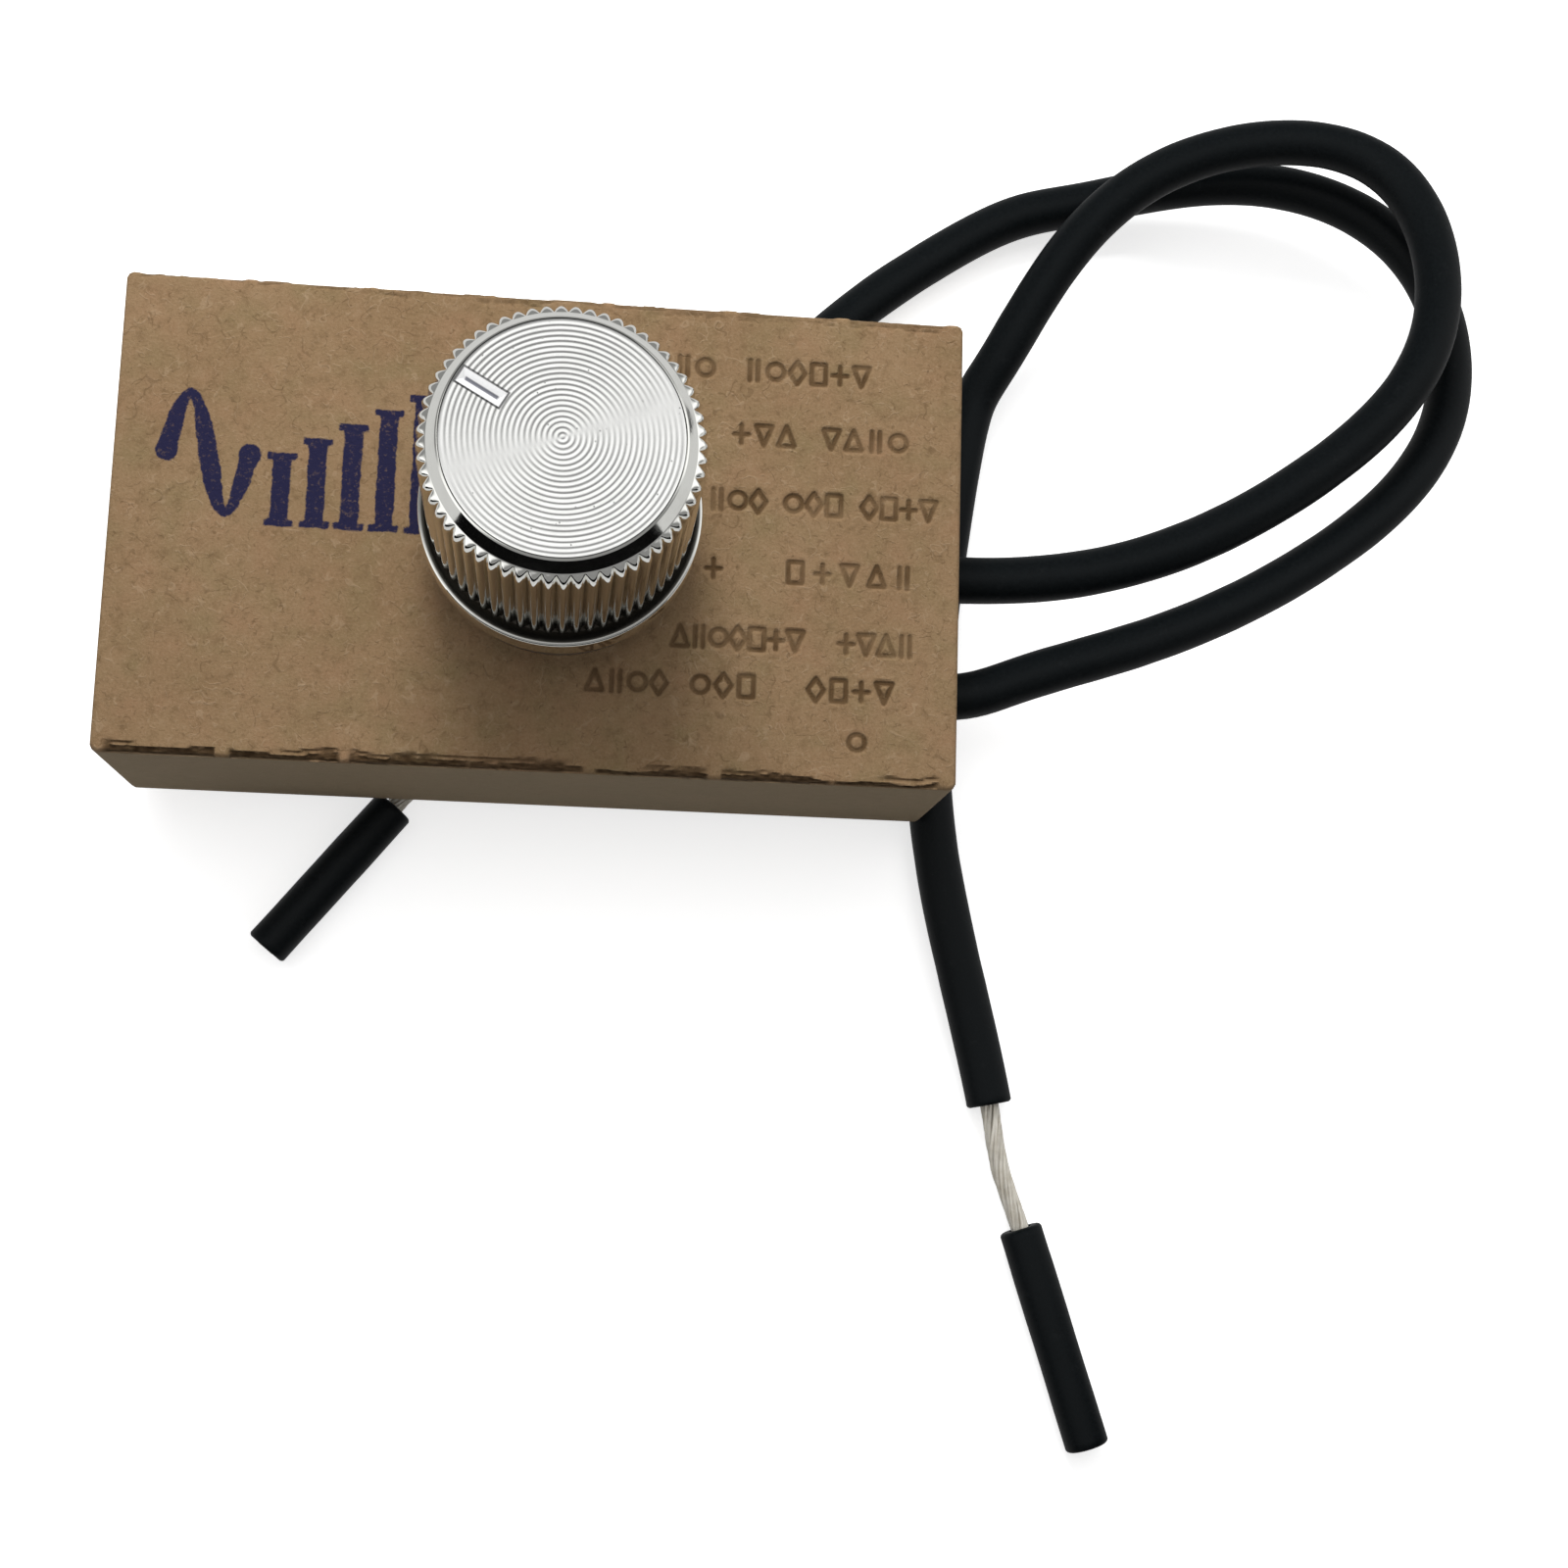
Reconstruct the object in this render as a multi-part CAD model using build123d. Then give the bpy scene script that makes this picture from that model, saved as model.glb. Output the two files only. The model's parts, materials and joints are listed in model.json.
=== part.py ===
"""Rotary lamp dimmer: a folded fibre-board box, a panel-mounted rotary control with a push-on knob, and two leads.

Frame: the origin is where the knob's axis crosses the front face of the box. +Z points out through the knob,
+X runs along the long side of the box towards the wall that the leads leave by. All sizes are in millimetres.
"""

import math
import os

from build123d import *

os.makedirs("parts", exist_ok=True)

# Folded fibre-board box
BOX_LEFT = -24.0
BOX_RIGHT = 22.0
BOX_HALF_WIDTH = 13.25
BOX_DEPTH = 12.0
BOARD_THICK = 0.8
FOLD_RADIUS = 0.25
CORNER_RADIUS = 0.4
COVER_GAP = 0.05
INNER_FRONT = -BOARD_THICK
COVER_FACE = -BOX_DEPTH + BOARD_THICK

# Threaded bushing and its hardware (M10 x 0.75 panel thread)
BUSHING_RADIUS = 5.0
BUSHING_TOP = 7.0
BUSHING_FLANGE_RADIUS = 7.0
BUSHING_FLANGE_LOW = -1.8
RUN_OUT_RADIUS = 4.6
RUN_OUT_LOW = 2.45
RUN_OUT_HIGH = 3.15
PANEL_HOLE_RADIUS = 5.1
WASHER_THICK = 0.5
WASHER_RADIUS = 6.9
WASHER_TEETH = 10
NUT_ACROSS_FLATS = 12.0
NUT_THICK = 1.9
RUNNING_GAP = 0.05

# Shaft
SHAFT_RADIUS = 3.0
SHAFT_FLAT = 1.5
SHAFT_TIP = 13.5
FLAT_LOW = 7.3
SHOULDER = -3.3
TAIL_RADIUS = 2.0
TAIL_FLAT = 1.5
TAIL_LOW = -8.0
CLIP_GROOVE_RADIUS = 2.5
CLIP_LOW = -3.2
CLIP_HIGH = -2.8

# Rotary control
CONTROL_RADIUS = 8.0
CONTROL_WALL = 0.8
ROOF_LOW = -2.6
WAFER_HIGH = -5.7
WAFER_LOW = -6.5
TONGUE_HALF_WIDTH = 6.5
TONGUE_END = -9.6
TRACK_INNER = 4.4
TRACK_OUTER = 6.2
TRACK_THICK = 0.06
TRACK_OPENING_DEG = 60.0
TERMINAL_PITCH = 5.0
TERMINAL_THICK = 0.3
TERMINAL_WIDTH = 0.8
ROTOR_HIGH = -3.4
ROTOR_LOW = -4.6
ROTOR_RADIUS = 6.4

# On-off switch behind the control
SWITCH_FLOOR = -8.2
SWITCH_WALL = 0.7
PIVOT_Y = 5.5
PIVOT_RADIUS = 0.6
LEVER_LOW = -8.0
LEVER_HIGH = -7.0
LEVER_HALF_LENGTH = 2.8
LEVER_ON_DEG = 12.0
POST_X = 3.1
POST_Y = 3.95
POST_RADIUS = 0.4
DRIVER_RADIUS = 2.9
DRIVER_REACH = 4.2

# Circuit board
PCB_HIGH = -8.8
PCB_LOW = -10.0
PCB_LEFT = -22.6
PCB_RIGHT = 20.6
PCB_HALF_WIDTH = 11.4
PIN_HOLE_RADIUS = 0.55
WIRE_RADIUS = 0.3

# Triac and heat sink
TRIAC_X = -16.0
TRIAC_HALF_WIDTH = 5.0
TRIAC_BODY_END = -4.6
TRIAC_BODY_TOP = 4.6
TRIAC_BODY_LOW = -6.9
TAB_LOW = -3.7
TAB_HIGH = -2.4
TAB_END = 11.0
TRIAC_PITCH = 2.54
TRIAC_PIN_Y = -5.9
SINK_HIGH = -1.2
SINK_RIGHT = -9.4
SINK_LEFT = -22.4
SINK_LEG = 1.0
SINK_BACK = 11.2
RIVET_Y = 8.2
RIVET_RADIUS = 1.6
RIVET_HOLE_RADIUS = 1.75
RIVET_HEAD_RADIUS = 2.8

# Small components: (centre y, height of the axis, left end, right end, radius) of each axial part
RESISTORS = ((-2.0, -7.5, 9.6, 15.9, 1.15), (-8.0, -7.5, 9.6, 15.9, 1.15))
DIAC = (-5.0, -7.7, 10.6, 14.6, 0.95)
AXIAL_WIRE_REACH = 0.75
FILM_CAPACITOR = (-22.2, -9.8, -11.2, -7.0, -1.6)
TIMING_CAPACITOR = (9.0, 16.2, 0.4, 3.0, -2.6)
CAPACITOR_PIN_INSET = 1.1
CHOKE_Y = 7.6
CHOKE_Z = -5.4
CHOKE_LEFT = 8.8
CHOKE_RIGHT = 20.2
CHOKE_CORE_RADIUS = 1.6
WINDING_RADIUS = 3.2
WINDING_INSET = 1.0

# Leads
LEAD_RADIUS = 1.28
LEAD_BORE = 0.62
STRAND_RADIUS = 0.56
LEAD_HOLE_RADIUS = 1.45
LEAD_LEVEL = -6.0
LEAD_START = 18.4
LEAD_PIN_X = 17.4
LEAD_STUB = 0.2
BEND_RADIUS = 0.9
RESTING_LEVEL = -13.35

# Knob
KNOB_LOW = 2.8
FLANGE_HIGH = 4.6
FLANGE_RADIUS = 7.45
FLANGE_ROUND = 0.35
KNURL_HIGH = 14.8
KNURL_TIP = 7.0
KNURL_ROOT = 6.6
KNURL_TEETH = 60
KNURL_CHAMFER = 0.15
SHOULDER_FOOT = 6.75
SHOULDER_RADIUS = 6.45
SHOULDER_HIGH = 15.9
KNOB_HIGH = 16.4
DISC_RADIUS = 5.9
DISC_THICK = 0.5
KNOB_CAVITY = 5.95
HUB_RADIUS = 4.4
HUB_LOW = 7.6
CAVITY_HIGH = 14.2
SHAFT_POCKET_HIGH = 13.8
SLIP = 0.03
RIB_WIDTH = 0.9
RIB_LOW = 8.6
POINTER_DEG = 150.5
POINTER_INNER = 3.1
POINTER_OUTER = 5.6
POINTER_WIDTH = 0.9
POINTER_DEPTH = 0.2


def disc(radius, low, high, x=0.0, y=0.0):
    """Upright round bar between two heights."""
    return Pos(x, y, (low + high) / 2) * Cylinder(radius, high - low)


def ring(inner, outer, low, high, x=0.0, y=0.0):
    """Upright tube between two heights."""
    return disc(outer, low, high, x, y) - disc(inner, low, high, x, y)


def block(x0, x1, y0, y1, z0, z1):
    """Box between two corners."""
    return Pos((x0 + x1) / 2, (y0 + y1) / 2, (z0 + z1) / 2) * Box(x1 - x0, y1 - y0, z1 - z0)


def bar_along_x(radius, left, right, y, z):
    """Round bar lying along X."""
    return Pos((left + right) / 2, y, z) * Rot(0, 90, 0) * Cylinder(radius, right - left)


def turned(points):
    """Solid of revolution about Z from (radius, height) points."""
    outline = Polyline([(radius, 0, height) for radius, height in points], close=True)
    return revolve(make_face(outline), Axis.Z)


def d_bar(radius, flat, low, high):
    """Round bar with one flat, at +Y, a given distance from the axis."""
    cut = block(-radius, radius, flat, radius + 1, low, high)
    return disc(radius, low, high) - cut


def wire_along(points, radius, bend):
    """Round wire along straight runs with rounded bends."""
    path = FilletPolyline(*points, radius=bend)
    section = Plane(origin=path @ 0, z_dir=path % 0) * Circle(radius)
    return sweep(section, path)


def axial_pins(part):
    """Where the two wires of an axial part go through the circuit board."""
    y, _, left, right, _ = part
    return [(left - AXIAL_WIRE_REACH, y), (right + AXIAL_WIRE_REACH, y)]


def capacitor_pins(part):
    """Where the two pins of a box capacitor go through the circuit board."""
    left, right, low_y, high_y, _ = part
    middle = (low_y + high_y) / 2
    return [(left + CAPACITOR_PIN_INSET, middle), (right - CAPACITOR_PIN_INSET, middle)]


LEAD_A_Y = -6.9
LEAD_B_Y = 0.05
TERMINAL_PINS = [(k * TERMINAL_PITCH, TONGUE_END - TERMINAL_THICK / 2) for k in (-1, 0, 1)]
TRIAC_PINS = [(TRIAC_X + k * TRIAC_PITCH, TRIAC_PIN_Y) for k in (-1, 0, 1)]
CHOKE_PINS = [(CHOKE_LEFT + 1.6, CHOKE_Y), (CHOKE_RIGHT - 1.6, CHOKE_Y)]
POST_PINS = [(-POST_X, POST_Y), (POST_X, POST_Y)]
LEAD_PINS = [(LEAD_PIN_X, LEAD_A_Y), (LEAD_PIN_X, LEAD_B_Y)]
AXIAL_PARTS = RESISTORS + (DIAC,)
BOX_CAPACITORS = (FILM_CAPACITOR, TIMING_CAPACITOR)
SMALL_PINS = [pin for part in AXIAL_PARTS for pin in axial_pins(part)]
SMALL_PINS += [pin for part in BOX_CAPACITORS for pin in capacitor_pins(part)]
SMALL_PINS += TERMINAL_PINS + TRIAC_PINS + CHOKE_PINS + POST_PINS


# Box -------------------------------------------------------------------------------------------------------

def front_tray():
    """Front face and four folded walls, with the panel hole and the two lead holes."""
    outer = block(BOX_LEFT, BOX_RIGHT, -BOX_HALF_WIDTH, BOX_HALF_WIDTH, -BOX_DEPTH, 0)
    outer = fillet(outer.edges().filter_by(Axis.Z), CORNER_RADIUS)
    outer = fillet(outer.faces().sort_by(Axis.Z)[-1].edges(), FOLD_RADIUS)
    inner = block(
        BOX_LEFT + BOARD_THICK,
        BOX_RIGHT - BOARD_THICK,
        -BOX_HALF_WIDTH + BOARD_THICK,
        BOX_HALF_WIDTH - BOARD_THICK,
        -BOX_DEPTH,
        INNER_FRONT,
    )
    tray = outer - inner - disc(PANEL_HOLE_RADIUS, INNER_FRONT, 0)
    for y in (LEAD_A_Y, LEAD_B_Y):
        tray -= bar_along_x(LEAD_HOLE_RADIUS, BOX_RIGHT - BOARD_THICK, BOX_RIGHT, y, LEAD_LEVEL)
    return tray


def rear_cover():
    """Rear panel with two tabs that tuck in behind the long walls."""
    half_width = BOX_HALF_WIDTH - BOARD_THICK - COVER_GAP
    left = BOX_LEFT + BOARD_THICK + COVER_GAP
    right = BOX_RIGHT - BOARD_THICK - COVER_GAP
    tab_inset = 3.0
    tab_high = -5.0
    cover = block(left, right, -half_width, half_width, -BOX_DEPTH, COVER_FACE)
    for side in (-1, 1):
        near, far = sorted((side * (half_width - BOARD_THICK), side * half_width))
        cover += block(left + tab_inset, right - tab_inset, near, far, COVER_FACE, tab_high)
    return cover


# Panel hardware --------------------------------------------------------------------------------------------

def threaded_bushing():
    """Flanged brass bushing with a run-out groove where the nut's seat ends."""
    tip_chamfer = 0.4
    barrel = turned(
        [
            (0, BUSHING_FLANGE_LOW),
            (BUSHING_FLANGE_RADIUS, BUSHING_FLANGE_LOW),
            (BUSHING_FLANGE_RADIUS, INNER_FRONT),
            (BUSHING_RADIUS, INNER_FRONT),
            (BUSHING_RADIUS, RUN_OUT_LOW),
            (RUN_OUT_RADIUS, RUN_OUT_LOW),
            (RUN_OUT_RADIUS, RUN_OUT_HIGH),
            (BUSHING_RADIUS, RUN_OUT_HIGH),
            (BUSHING_RADIUS, BUSHING_TOP - tip_chamfer),
            (BUSHING_RADIUS - tip_chamfer, BUSHING_TOP),
            (0, BUSHING_TOP),
        ]
    )
    return barrel - disc(SHAFT_RADIUS + RUNNING_GAP, BUSHING_FLANGE_LOW, BUSHING_TOP)


def lock_washer():
    """Internal-tooth washer: a flat ring with notches round its bore."""
    bore = BUSHING_RADIUS + 0.1
    notch_depth = 0.7
    notch_width = 0.9
    washer = ring(bore, WASHER_RADIUS, 0, WASHER_THICK)
    for k in range(WASHER_TEETH):
        notch = block(bore - 0.2, bore + notch_depth, -notch_width / 2, notch_width / 2, 0, WASHER_THICK)
        washer -= Rot(0, 0, k * 360 / WASHER_TEETH) * notch
    return washer


def hex_nut():
    """Thin panel nut, corners chamfered on the outer side."""
    low = WASHER_THICK
    high = low + NUT_THICK
    corner = NUT_ACROSS_FLATS / 2 / math.cos(math.pi / 6)
    chamfer_height = 0.35
    flat_radius = NUT_ACROSS_FLATS / 2 - 0.1
    hexagon = RegularPolygon(NUT_ACROSS_FLATS / 2, 6, major_radius=False)
    nut = Pos(0, 0, low) * extrude(hexagon, NUT_THICK)
    nut &= turned([(0, low), (corner, low), (corner, high - chamfer_height), (flat_radius, high), (0, high)])
    return nut - disc(BUSHING_RADIUS + 0.02, low, high)


# Rotary control --------------------------------------------------------------------------------------------

def control_housing():
    """Metal can round the resistance track, with a roof that the bushing is staked to."""
    inner = CONTROL_RADIUS - CONTROL_WALL
    can = ring(inner, CONTROL_RADIUS, WAFER_HIGH, ROOF_LOW)
    return can + ring(SHAFT_RADIUS + 0.3, CONTROL_RADIUS, ROOF_LOW, BUSHING_FLANGE_LOW)


def track_wafer():
    """Phenolic wafer with a tongue for the three terminals."""
    wafer = disc(CONTROL_RADIUS, WAFER_LOW, WAFER_HIGH)
    wafer += block(-TONGUE_HALF_WIDTH, TONGUE_HALF_WIDTH, TONGUE_END, 0, WAFER_LOW, WAFER_HIGH)
    return wafer - disc(TAIL_RADIUS + 0.3, WAFER_LOW, WAFER_HIGH)


def resistance_track():
    """Carbon track, open towards the terminals."""
    track = ring(TRACK_INNER, TRACK_OUTER, WAFER_HIGH, WAFER_HIGH + TRACK_THICK)
    reach = TRACK_OUTER + 1
    half_opening = reach * math.tan(math.radians(TRACK_OPENING_DEG / 2))
    wedge = make_face(Polyline((0, 0), (half_opening, -reach), (-half_opening, -reach), close=True))
    return track - Pos(0, 0, WAFER_HIGH) * extrude(wedge, TRACK_THICK)


def track_terminals():
    """Three flat terminals riveted to the tongue and bent down through the circuit board."""
    strip_inner = -8.2
    rivet_y = -8.8
    half = TERMINAL_WIDTH / 2
    outer = TONGUE_END - TERMINAL_THICK
    high = WAFER_HIGH + TERMINAL_THICK
    terminals = []
    for x, _ in TERMINAL_PINS:
        strip = block(x - half, x + half, outer, strip_inner, WAFER_HIGH, high)
        leg = block(x - half, x + half, outer, TONGUE_END, PCB_LOW, high)
        rivet = disc(half, high, high + 0.25, x, rivet_y)
        terminals.append(strip + leg + rivet)
    return Compound(terminals)


def switch_housing():
    """Moulded cup that closes the back of the control and stands on the circuit board."""
    inner = CONTROL_RADIUS - SWITCH_WALL
    cup = disc(CONTROL_RADIUS, PCB_HIGH, SWITCH_FLOOR) + ring(inner, CONTROL_RADIUS, SWITCH_FLOOR, WAFER_LOW)
    for x, y in POST_PINS:
        cup -= disc(POST_RADIUS + 0.05, PCB_HIGH, SWITCH_FLOOR, x, y)
    return cup


def switch_contacts():
    """Fixed contact post and the matching rest post, each running down through the board."""
    gap_under_wafer = 0.2
    return Compound([disc(POST_RADIUS, PCB_LOW, WAFER_LOW - gap_under_wafer, x, y) for x, y in POST_PINS])


def lever_pivot_pin():
    """Fixed pin that the switch lever rocks on."""
    return disc(PIVOT_RADIUS, SWITCH_FLOOR, WAFER_LOW, 0, PIVOT_Y)


def lever_bar(half_length, half_width, boss_radius, bore_radius, low, high):
    """Bar with a round boss, in its switched-on position on the pivot."""
    bar = block(-half_length, half_length, -half_width, half_width, low, high)
    bar += disc(boss_radius, low, high)
    bar -= disc(bore_radius, low, high)
    return Pos(0, PIVOT_Y, 0) * Rot(0, 0, LEVER_ON_DEG) * bar


def switch_lever():
    """Insulating rocker of the on-off switch."""
    return lever_bar(LEVER_HALF_LENGTH, 0.45, 1.1, PIVOT_RADIUS + 0.06, LEVER_LOW, LEVER_HIGH)


def moving_contact():
    """Contact leaf carried on top of the lever."""
    leaf_thick = 0.2
    leaf_half_length = LEVER_HALF_LENGTH + 0.4
    return lever_bar(leaf_half_length, 0.35, 1.0, PIVOT_RADIUS + 0.1, LEVER_HIGH, LEVER_HIGH + leaf_thick)


# Spindle ---------------------------------------------------------------------------------------------------

def shaft():
    """Six-millimetre shaft with a knob flat at the tip, a clip groove and a flatted tail."""
    tip_chamfer = 0.5
    tip = SHAFT_RADIUS - tip_chamfer
    bar = turned(
        [
            (0, SHOULDER),
            (SHAFT_RADIUS, SHOULDER),
            (SHAFT_RADIUS, SHAFT_TIP - tip_chamfer),
            (tip, SHAFT_TIP),
            (0, SHAFT_TIP),
        ]
    )
    bar -= block(-SHAFT_RADIUS, SHAFT_RADIUS, SHAFT_FLAT, SHAFT_RADIUS + 1, FLAT_LOW, SHAFT_TIP)
    bar -= ring(CLIP_GROOVE_RADIUS, SHAFT_RADIUS + 1, CLIP_LOW, CLIP_HIGH)
    return bar + d_bar(TAIL_RADIUS, TAIL_FLAT, TAIL_LOW, SHOULDER)


def retaining_clip():
    """Open clip in the shaft's groove, just under the roof of the can."""
    clip_radius = 4.4
    mouth_half_width = 1.6
    clip = ring(CLIP_GROOVE_RADIUS, clip_radius, CLIP_LOW, CLIP_HIGH)
    return clip - block(-mouth_half_width, mouth_half_width, -clip_radius, 0, CLIP_LOW, CLIP_HIGH)


def wiper_rotor():
    """Moulded rotor keyed to the shaft's tail."""
    rotor = disc(ROTOR_RADIUS, ROTOR_LOW, ROTOR_HIGH)
    return rotor - d_bar(TAIL_RADIUS, TAIL_FLAT, ROTOR_LOW, ROTOR_HIGH)


def wiper_contact():
    """Spring contact under the rotor, its foot just above the track."""
    leaf_thick = 0.2
    half_width = 0.5
    foot_inner = 5.0
    foot_outer = 5.6
    leaf_low = ROTOR_LOW - leaf_thick
    foot_low = WAFER_HIGH + TRACK_THICK + 0.06
    hoop = ring(TAIL_RADIUS + 0.2, TAIL_RADIUS + 1.6, leaf_low, ROTOR_LOW)
    arm = block(-half_width, half_width, TAIL_RADIUS + 1, foot_outer, leaf_low, ROTOR_LOW)
    foot = block(-half_width, half_width, foot_inner, foot_outer, foot_low, leaf_low)
    return Rot(0, 0, POINTER_DEG - 90) * (hoop + arm + foot)


def switch_driver():
    """Disc on the shaft's tail with the finger that throws the switch lever."""
    low = -7.9
    high = -6.7
    half_width = 0.6
    driver = disc(DRIVER_RADIUS, low, high)
    driver += block(0, DRIVER_REACH, -half_width, half_width, low, high)
    return driver - d_bar(TAIL_RADIUS, TAIL_FLAT, low, high)


# Circuit board and what stands on it -----------------------------------------------------------------------

def circuit_board():
    """Drilled laminate board."""
    board = block(PCB_LEFT, PCB_RIGHT, -PCB_HALF_WIDTH, PCB_HALF_WIDTH, PCB_LOW, PCB_HIGH)
    for x, y in SMALL_PINS:
        board -= disc(PIN_HOLE_RADIUS, PCB_LOW, PCB_HIGH, x, y)
    for x, y in LEAD_PINS:
        board -= disc(STRAND_RADIUS + 0.15, PCB_LOW, PCB_HIGH, x, y)
    return board


def solder_joints():
    """One solder fillet under the board for each pin."""
    height = 0.7
    foot = 0.95
    tip = 0.45
    middle = PCB_LOW - height / 2
    return Compound([Pos(x, y, middle) * Cone(tip, foot, height) for x, y in SMALL_PINS + LEAD_PINS])


def component_wires():
    """Tinned pins and wires of the small components."""
    bend = 0.4
    wires = []
    for part in AXIAL_PARTS:
        y, z, left, right, _ = part
        for end, (pin_x, _) in zip((left, right), axial_pins(part)):
            wires.append(wire_along([(end, y, z), (pin_x, y, z), (pin_x, y, PCB_LOW)], WIRE_RADIUS, bend))
    for part in BOX_CAPACITORS:
        wires += [disc(WIRE_RADIUS, PCB_LOW, PCB_HIGH, x, y) for x, y in capacitor_pins(part)]
    wires += [disc(WIRE_RADIUS, PCB_LOW, CHOKE_Z - WINDING_RADIUS, x, y) for x, y in CHOKE_PINS]
    return Compound(wires)


def triac_body():
    """Moulded body of the triac."""
    body = block(
        TRIAC_X - TRIAC_HALF_WIDTH,
        TRIAC_X + TRIAC_HALF_WIDTH,
        TRIAC_BODY_END,
        TRIAC_BODY_TOP,
        TRIAC_BODY_LOW,
        TAB_LOW,
    )
    return chamfer(body.faces().sort_by(Axis.Z)[0].edges(), 0.3)


def triac_tab():
    """Metal tab of the triac, with its fixing hole."""
    tab = block(
        TRIAC_X - TRIAC_HALF_WIDTH,
        TRIAC_X + TRIAC_HALF_WIDTH,
        TRIAC_BODY_END,
        TAB_END,
        TAB_LOW,
        TAB_HIGH,
    )
    return tab - disc(RIVET_HOLE_RADIUS, TAB_LOW, TAB_HIGH, TRIAC_X, RIVET_Y)


def triac_leads():
    """Three leads bent down through the board."""
    level = -5.6
    radius = 0.4
    runs = [((x, TRIAC_BODY_END, level), (x, y, level), (x, y, PCB_LOW)) for x, y in TRIAC_PINS]
    return Compound([wire_along(run, radius, 0.6) for run in runs])


def heat_sink():
    """Bent aluminium plate over the triac."""
    plate = block(SINK_LEFT, SINK_RIGHT, TRIAC_BODY_END, SINK_BACK, TAB_HIGH, SINK_HIGH)
    leg_low = -8.0
    plate += block(SINK_LEFT, SINK_LEFT + SINK_LEG, TRIAC_BODY_END, SINK_BACK, leg_low, TAB_HIGH)
    return plate - disc(RIVET_HOLE_RADIUS, TAB_HIGH, SINK_HIGH, TRIAC_X, RIVET_Y)


def heat_sink_rivet():
    """Rivet through the tab and the heat sink."""
    head_above = 0.3
    head_below = 0.6
    rivet = disc(RIVET_RADIUS, TAB_LOW, SINK_HIGH, TRIAC_X, RIVET_Y)
    rivet += disc(RIVET_HEAD_RADIUS, SINK_HIGH, SINK_HIGH + head_above, TRIAC_X, RIVET_Y)
    return rivet + disc(RIVET_HEAD_RADIUS, TAB_LOW - head_below, TAB_LOW, TRIAC_X, RIVET_Y)


def box_capacitor(part):
    """Moulded box capacitor standing on the board."""
    left, right, low_y, high_y, top = part
    body = block(left, right, low_y, high_y, PCB_HIGH, top)
    return fillet(body.edges().filter_by(Axis.Z), 0.4)


def axial_body(part):
    """Barrel of an axial part, its ends rounded."""
    y, z, left, right, radius = part
    barrel = bar_along_x(radius, left, right, y, z)
    return fillet(barrel.edges().filter_by(GeomType.CIRCLE), radius * 0.35)


def choke_core():
    """Ferrite rod of the choke."""
    return bar_along_x(CHOKE_CORE_RADIUS, CHOKE_LEFT, CHOKE_RIGHT, CHOKE_Y, CHOKE_Z)


def choke_winding():
    """Enamelled winding, as a sleeve round the rod."""
    left = CHOKE_LEFT + WINDING_INSET
    right = CHOKE_RIGHT - WINDING_INSET
    outer = bar_along_x(WINDING_RADIUS, left, right, CHOKE_Y, CHOKE_Z)
    return outer - bar_along_x(CHOKE_CORE_RADIUS + 0.05, left, right, CHOKE_Y, CHOKE_Z)


# Leads -----------------------------------------------------------------------------------------------------

def swept(section, path):
    """Solid of a round or annular section along a path."""
    return sweep(Plane(origin=path @ 0, z_dir=path % 0) * section, path)


def resting(*points):
    """Points on the surface that the leads lie on."""
    return [(x, y, RESTING_LEVEL) for x, y in points]


class Lead:
    """One insulated lead: its loop in the air, the stretch that lies down, the bared strands and the end sleeve."""

    def __init__(self, exit_y, loop, landing, rest, end, bare, sleeve):
        """Landing and end are the lead's directions where it first lies down and where its insulation stops."""
        self.exit_y = exit_y
        wall = (BOX_RIGHT + LEAD_STUB, exit_y, LEAD_LEVEL)
        sleeve_run = Vector(*sleeve[1]) - Vector(*sleeve[0])
        self.straight = Line((LEAD_START, exit_y, LEAD_LEVEL), wall)
        self.loop = Spline(wall, *loop, tangents=[(1, 0, 0), landing])
        self.rest = Spline(loop[-1], *rest, tangents=[landing, end])
        self.bare = Spline(rest[-1], *bare, sleeve[0], tangents=[end, sleeve_run])
        self.end = Line(*sleeve)

    def insulation(self):
        """Insulation from inside the box to where the lead is bared."""
        return swept(Circle(LEAD_RADIUS) - Circle(LEAD_BORE), Wire([self.straight, self.loop, self.rest]))

    def end_sleeve(self):
        """Short piece of insulation left on the end of the strands."""
        return swept(Circle(LEAD_RADIUS) - Circle(LEAD_BORE), self.end)

    def conductor(self):
        """Stranded conductor from the circuit board to the tip."""
        inside = FilletPolyline(
            (LEAD_PIN_X, self.exit_y, PCB_LOW),
            (LEAD_PIN_X, self.exit_y, LEAD_LEVEL),
            (LEAD_START, self.exit_y, LEAD_LEVEL),
            radius=BEND_RADIUS,
        )
        outside = [self.straight, self.loop, self.rest, self.bare, self.end]
        return swept(Circle(STRAND_RADIUS), Wire(inside.edges() + outside))


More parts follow.
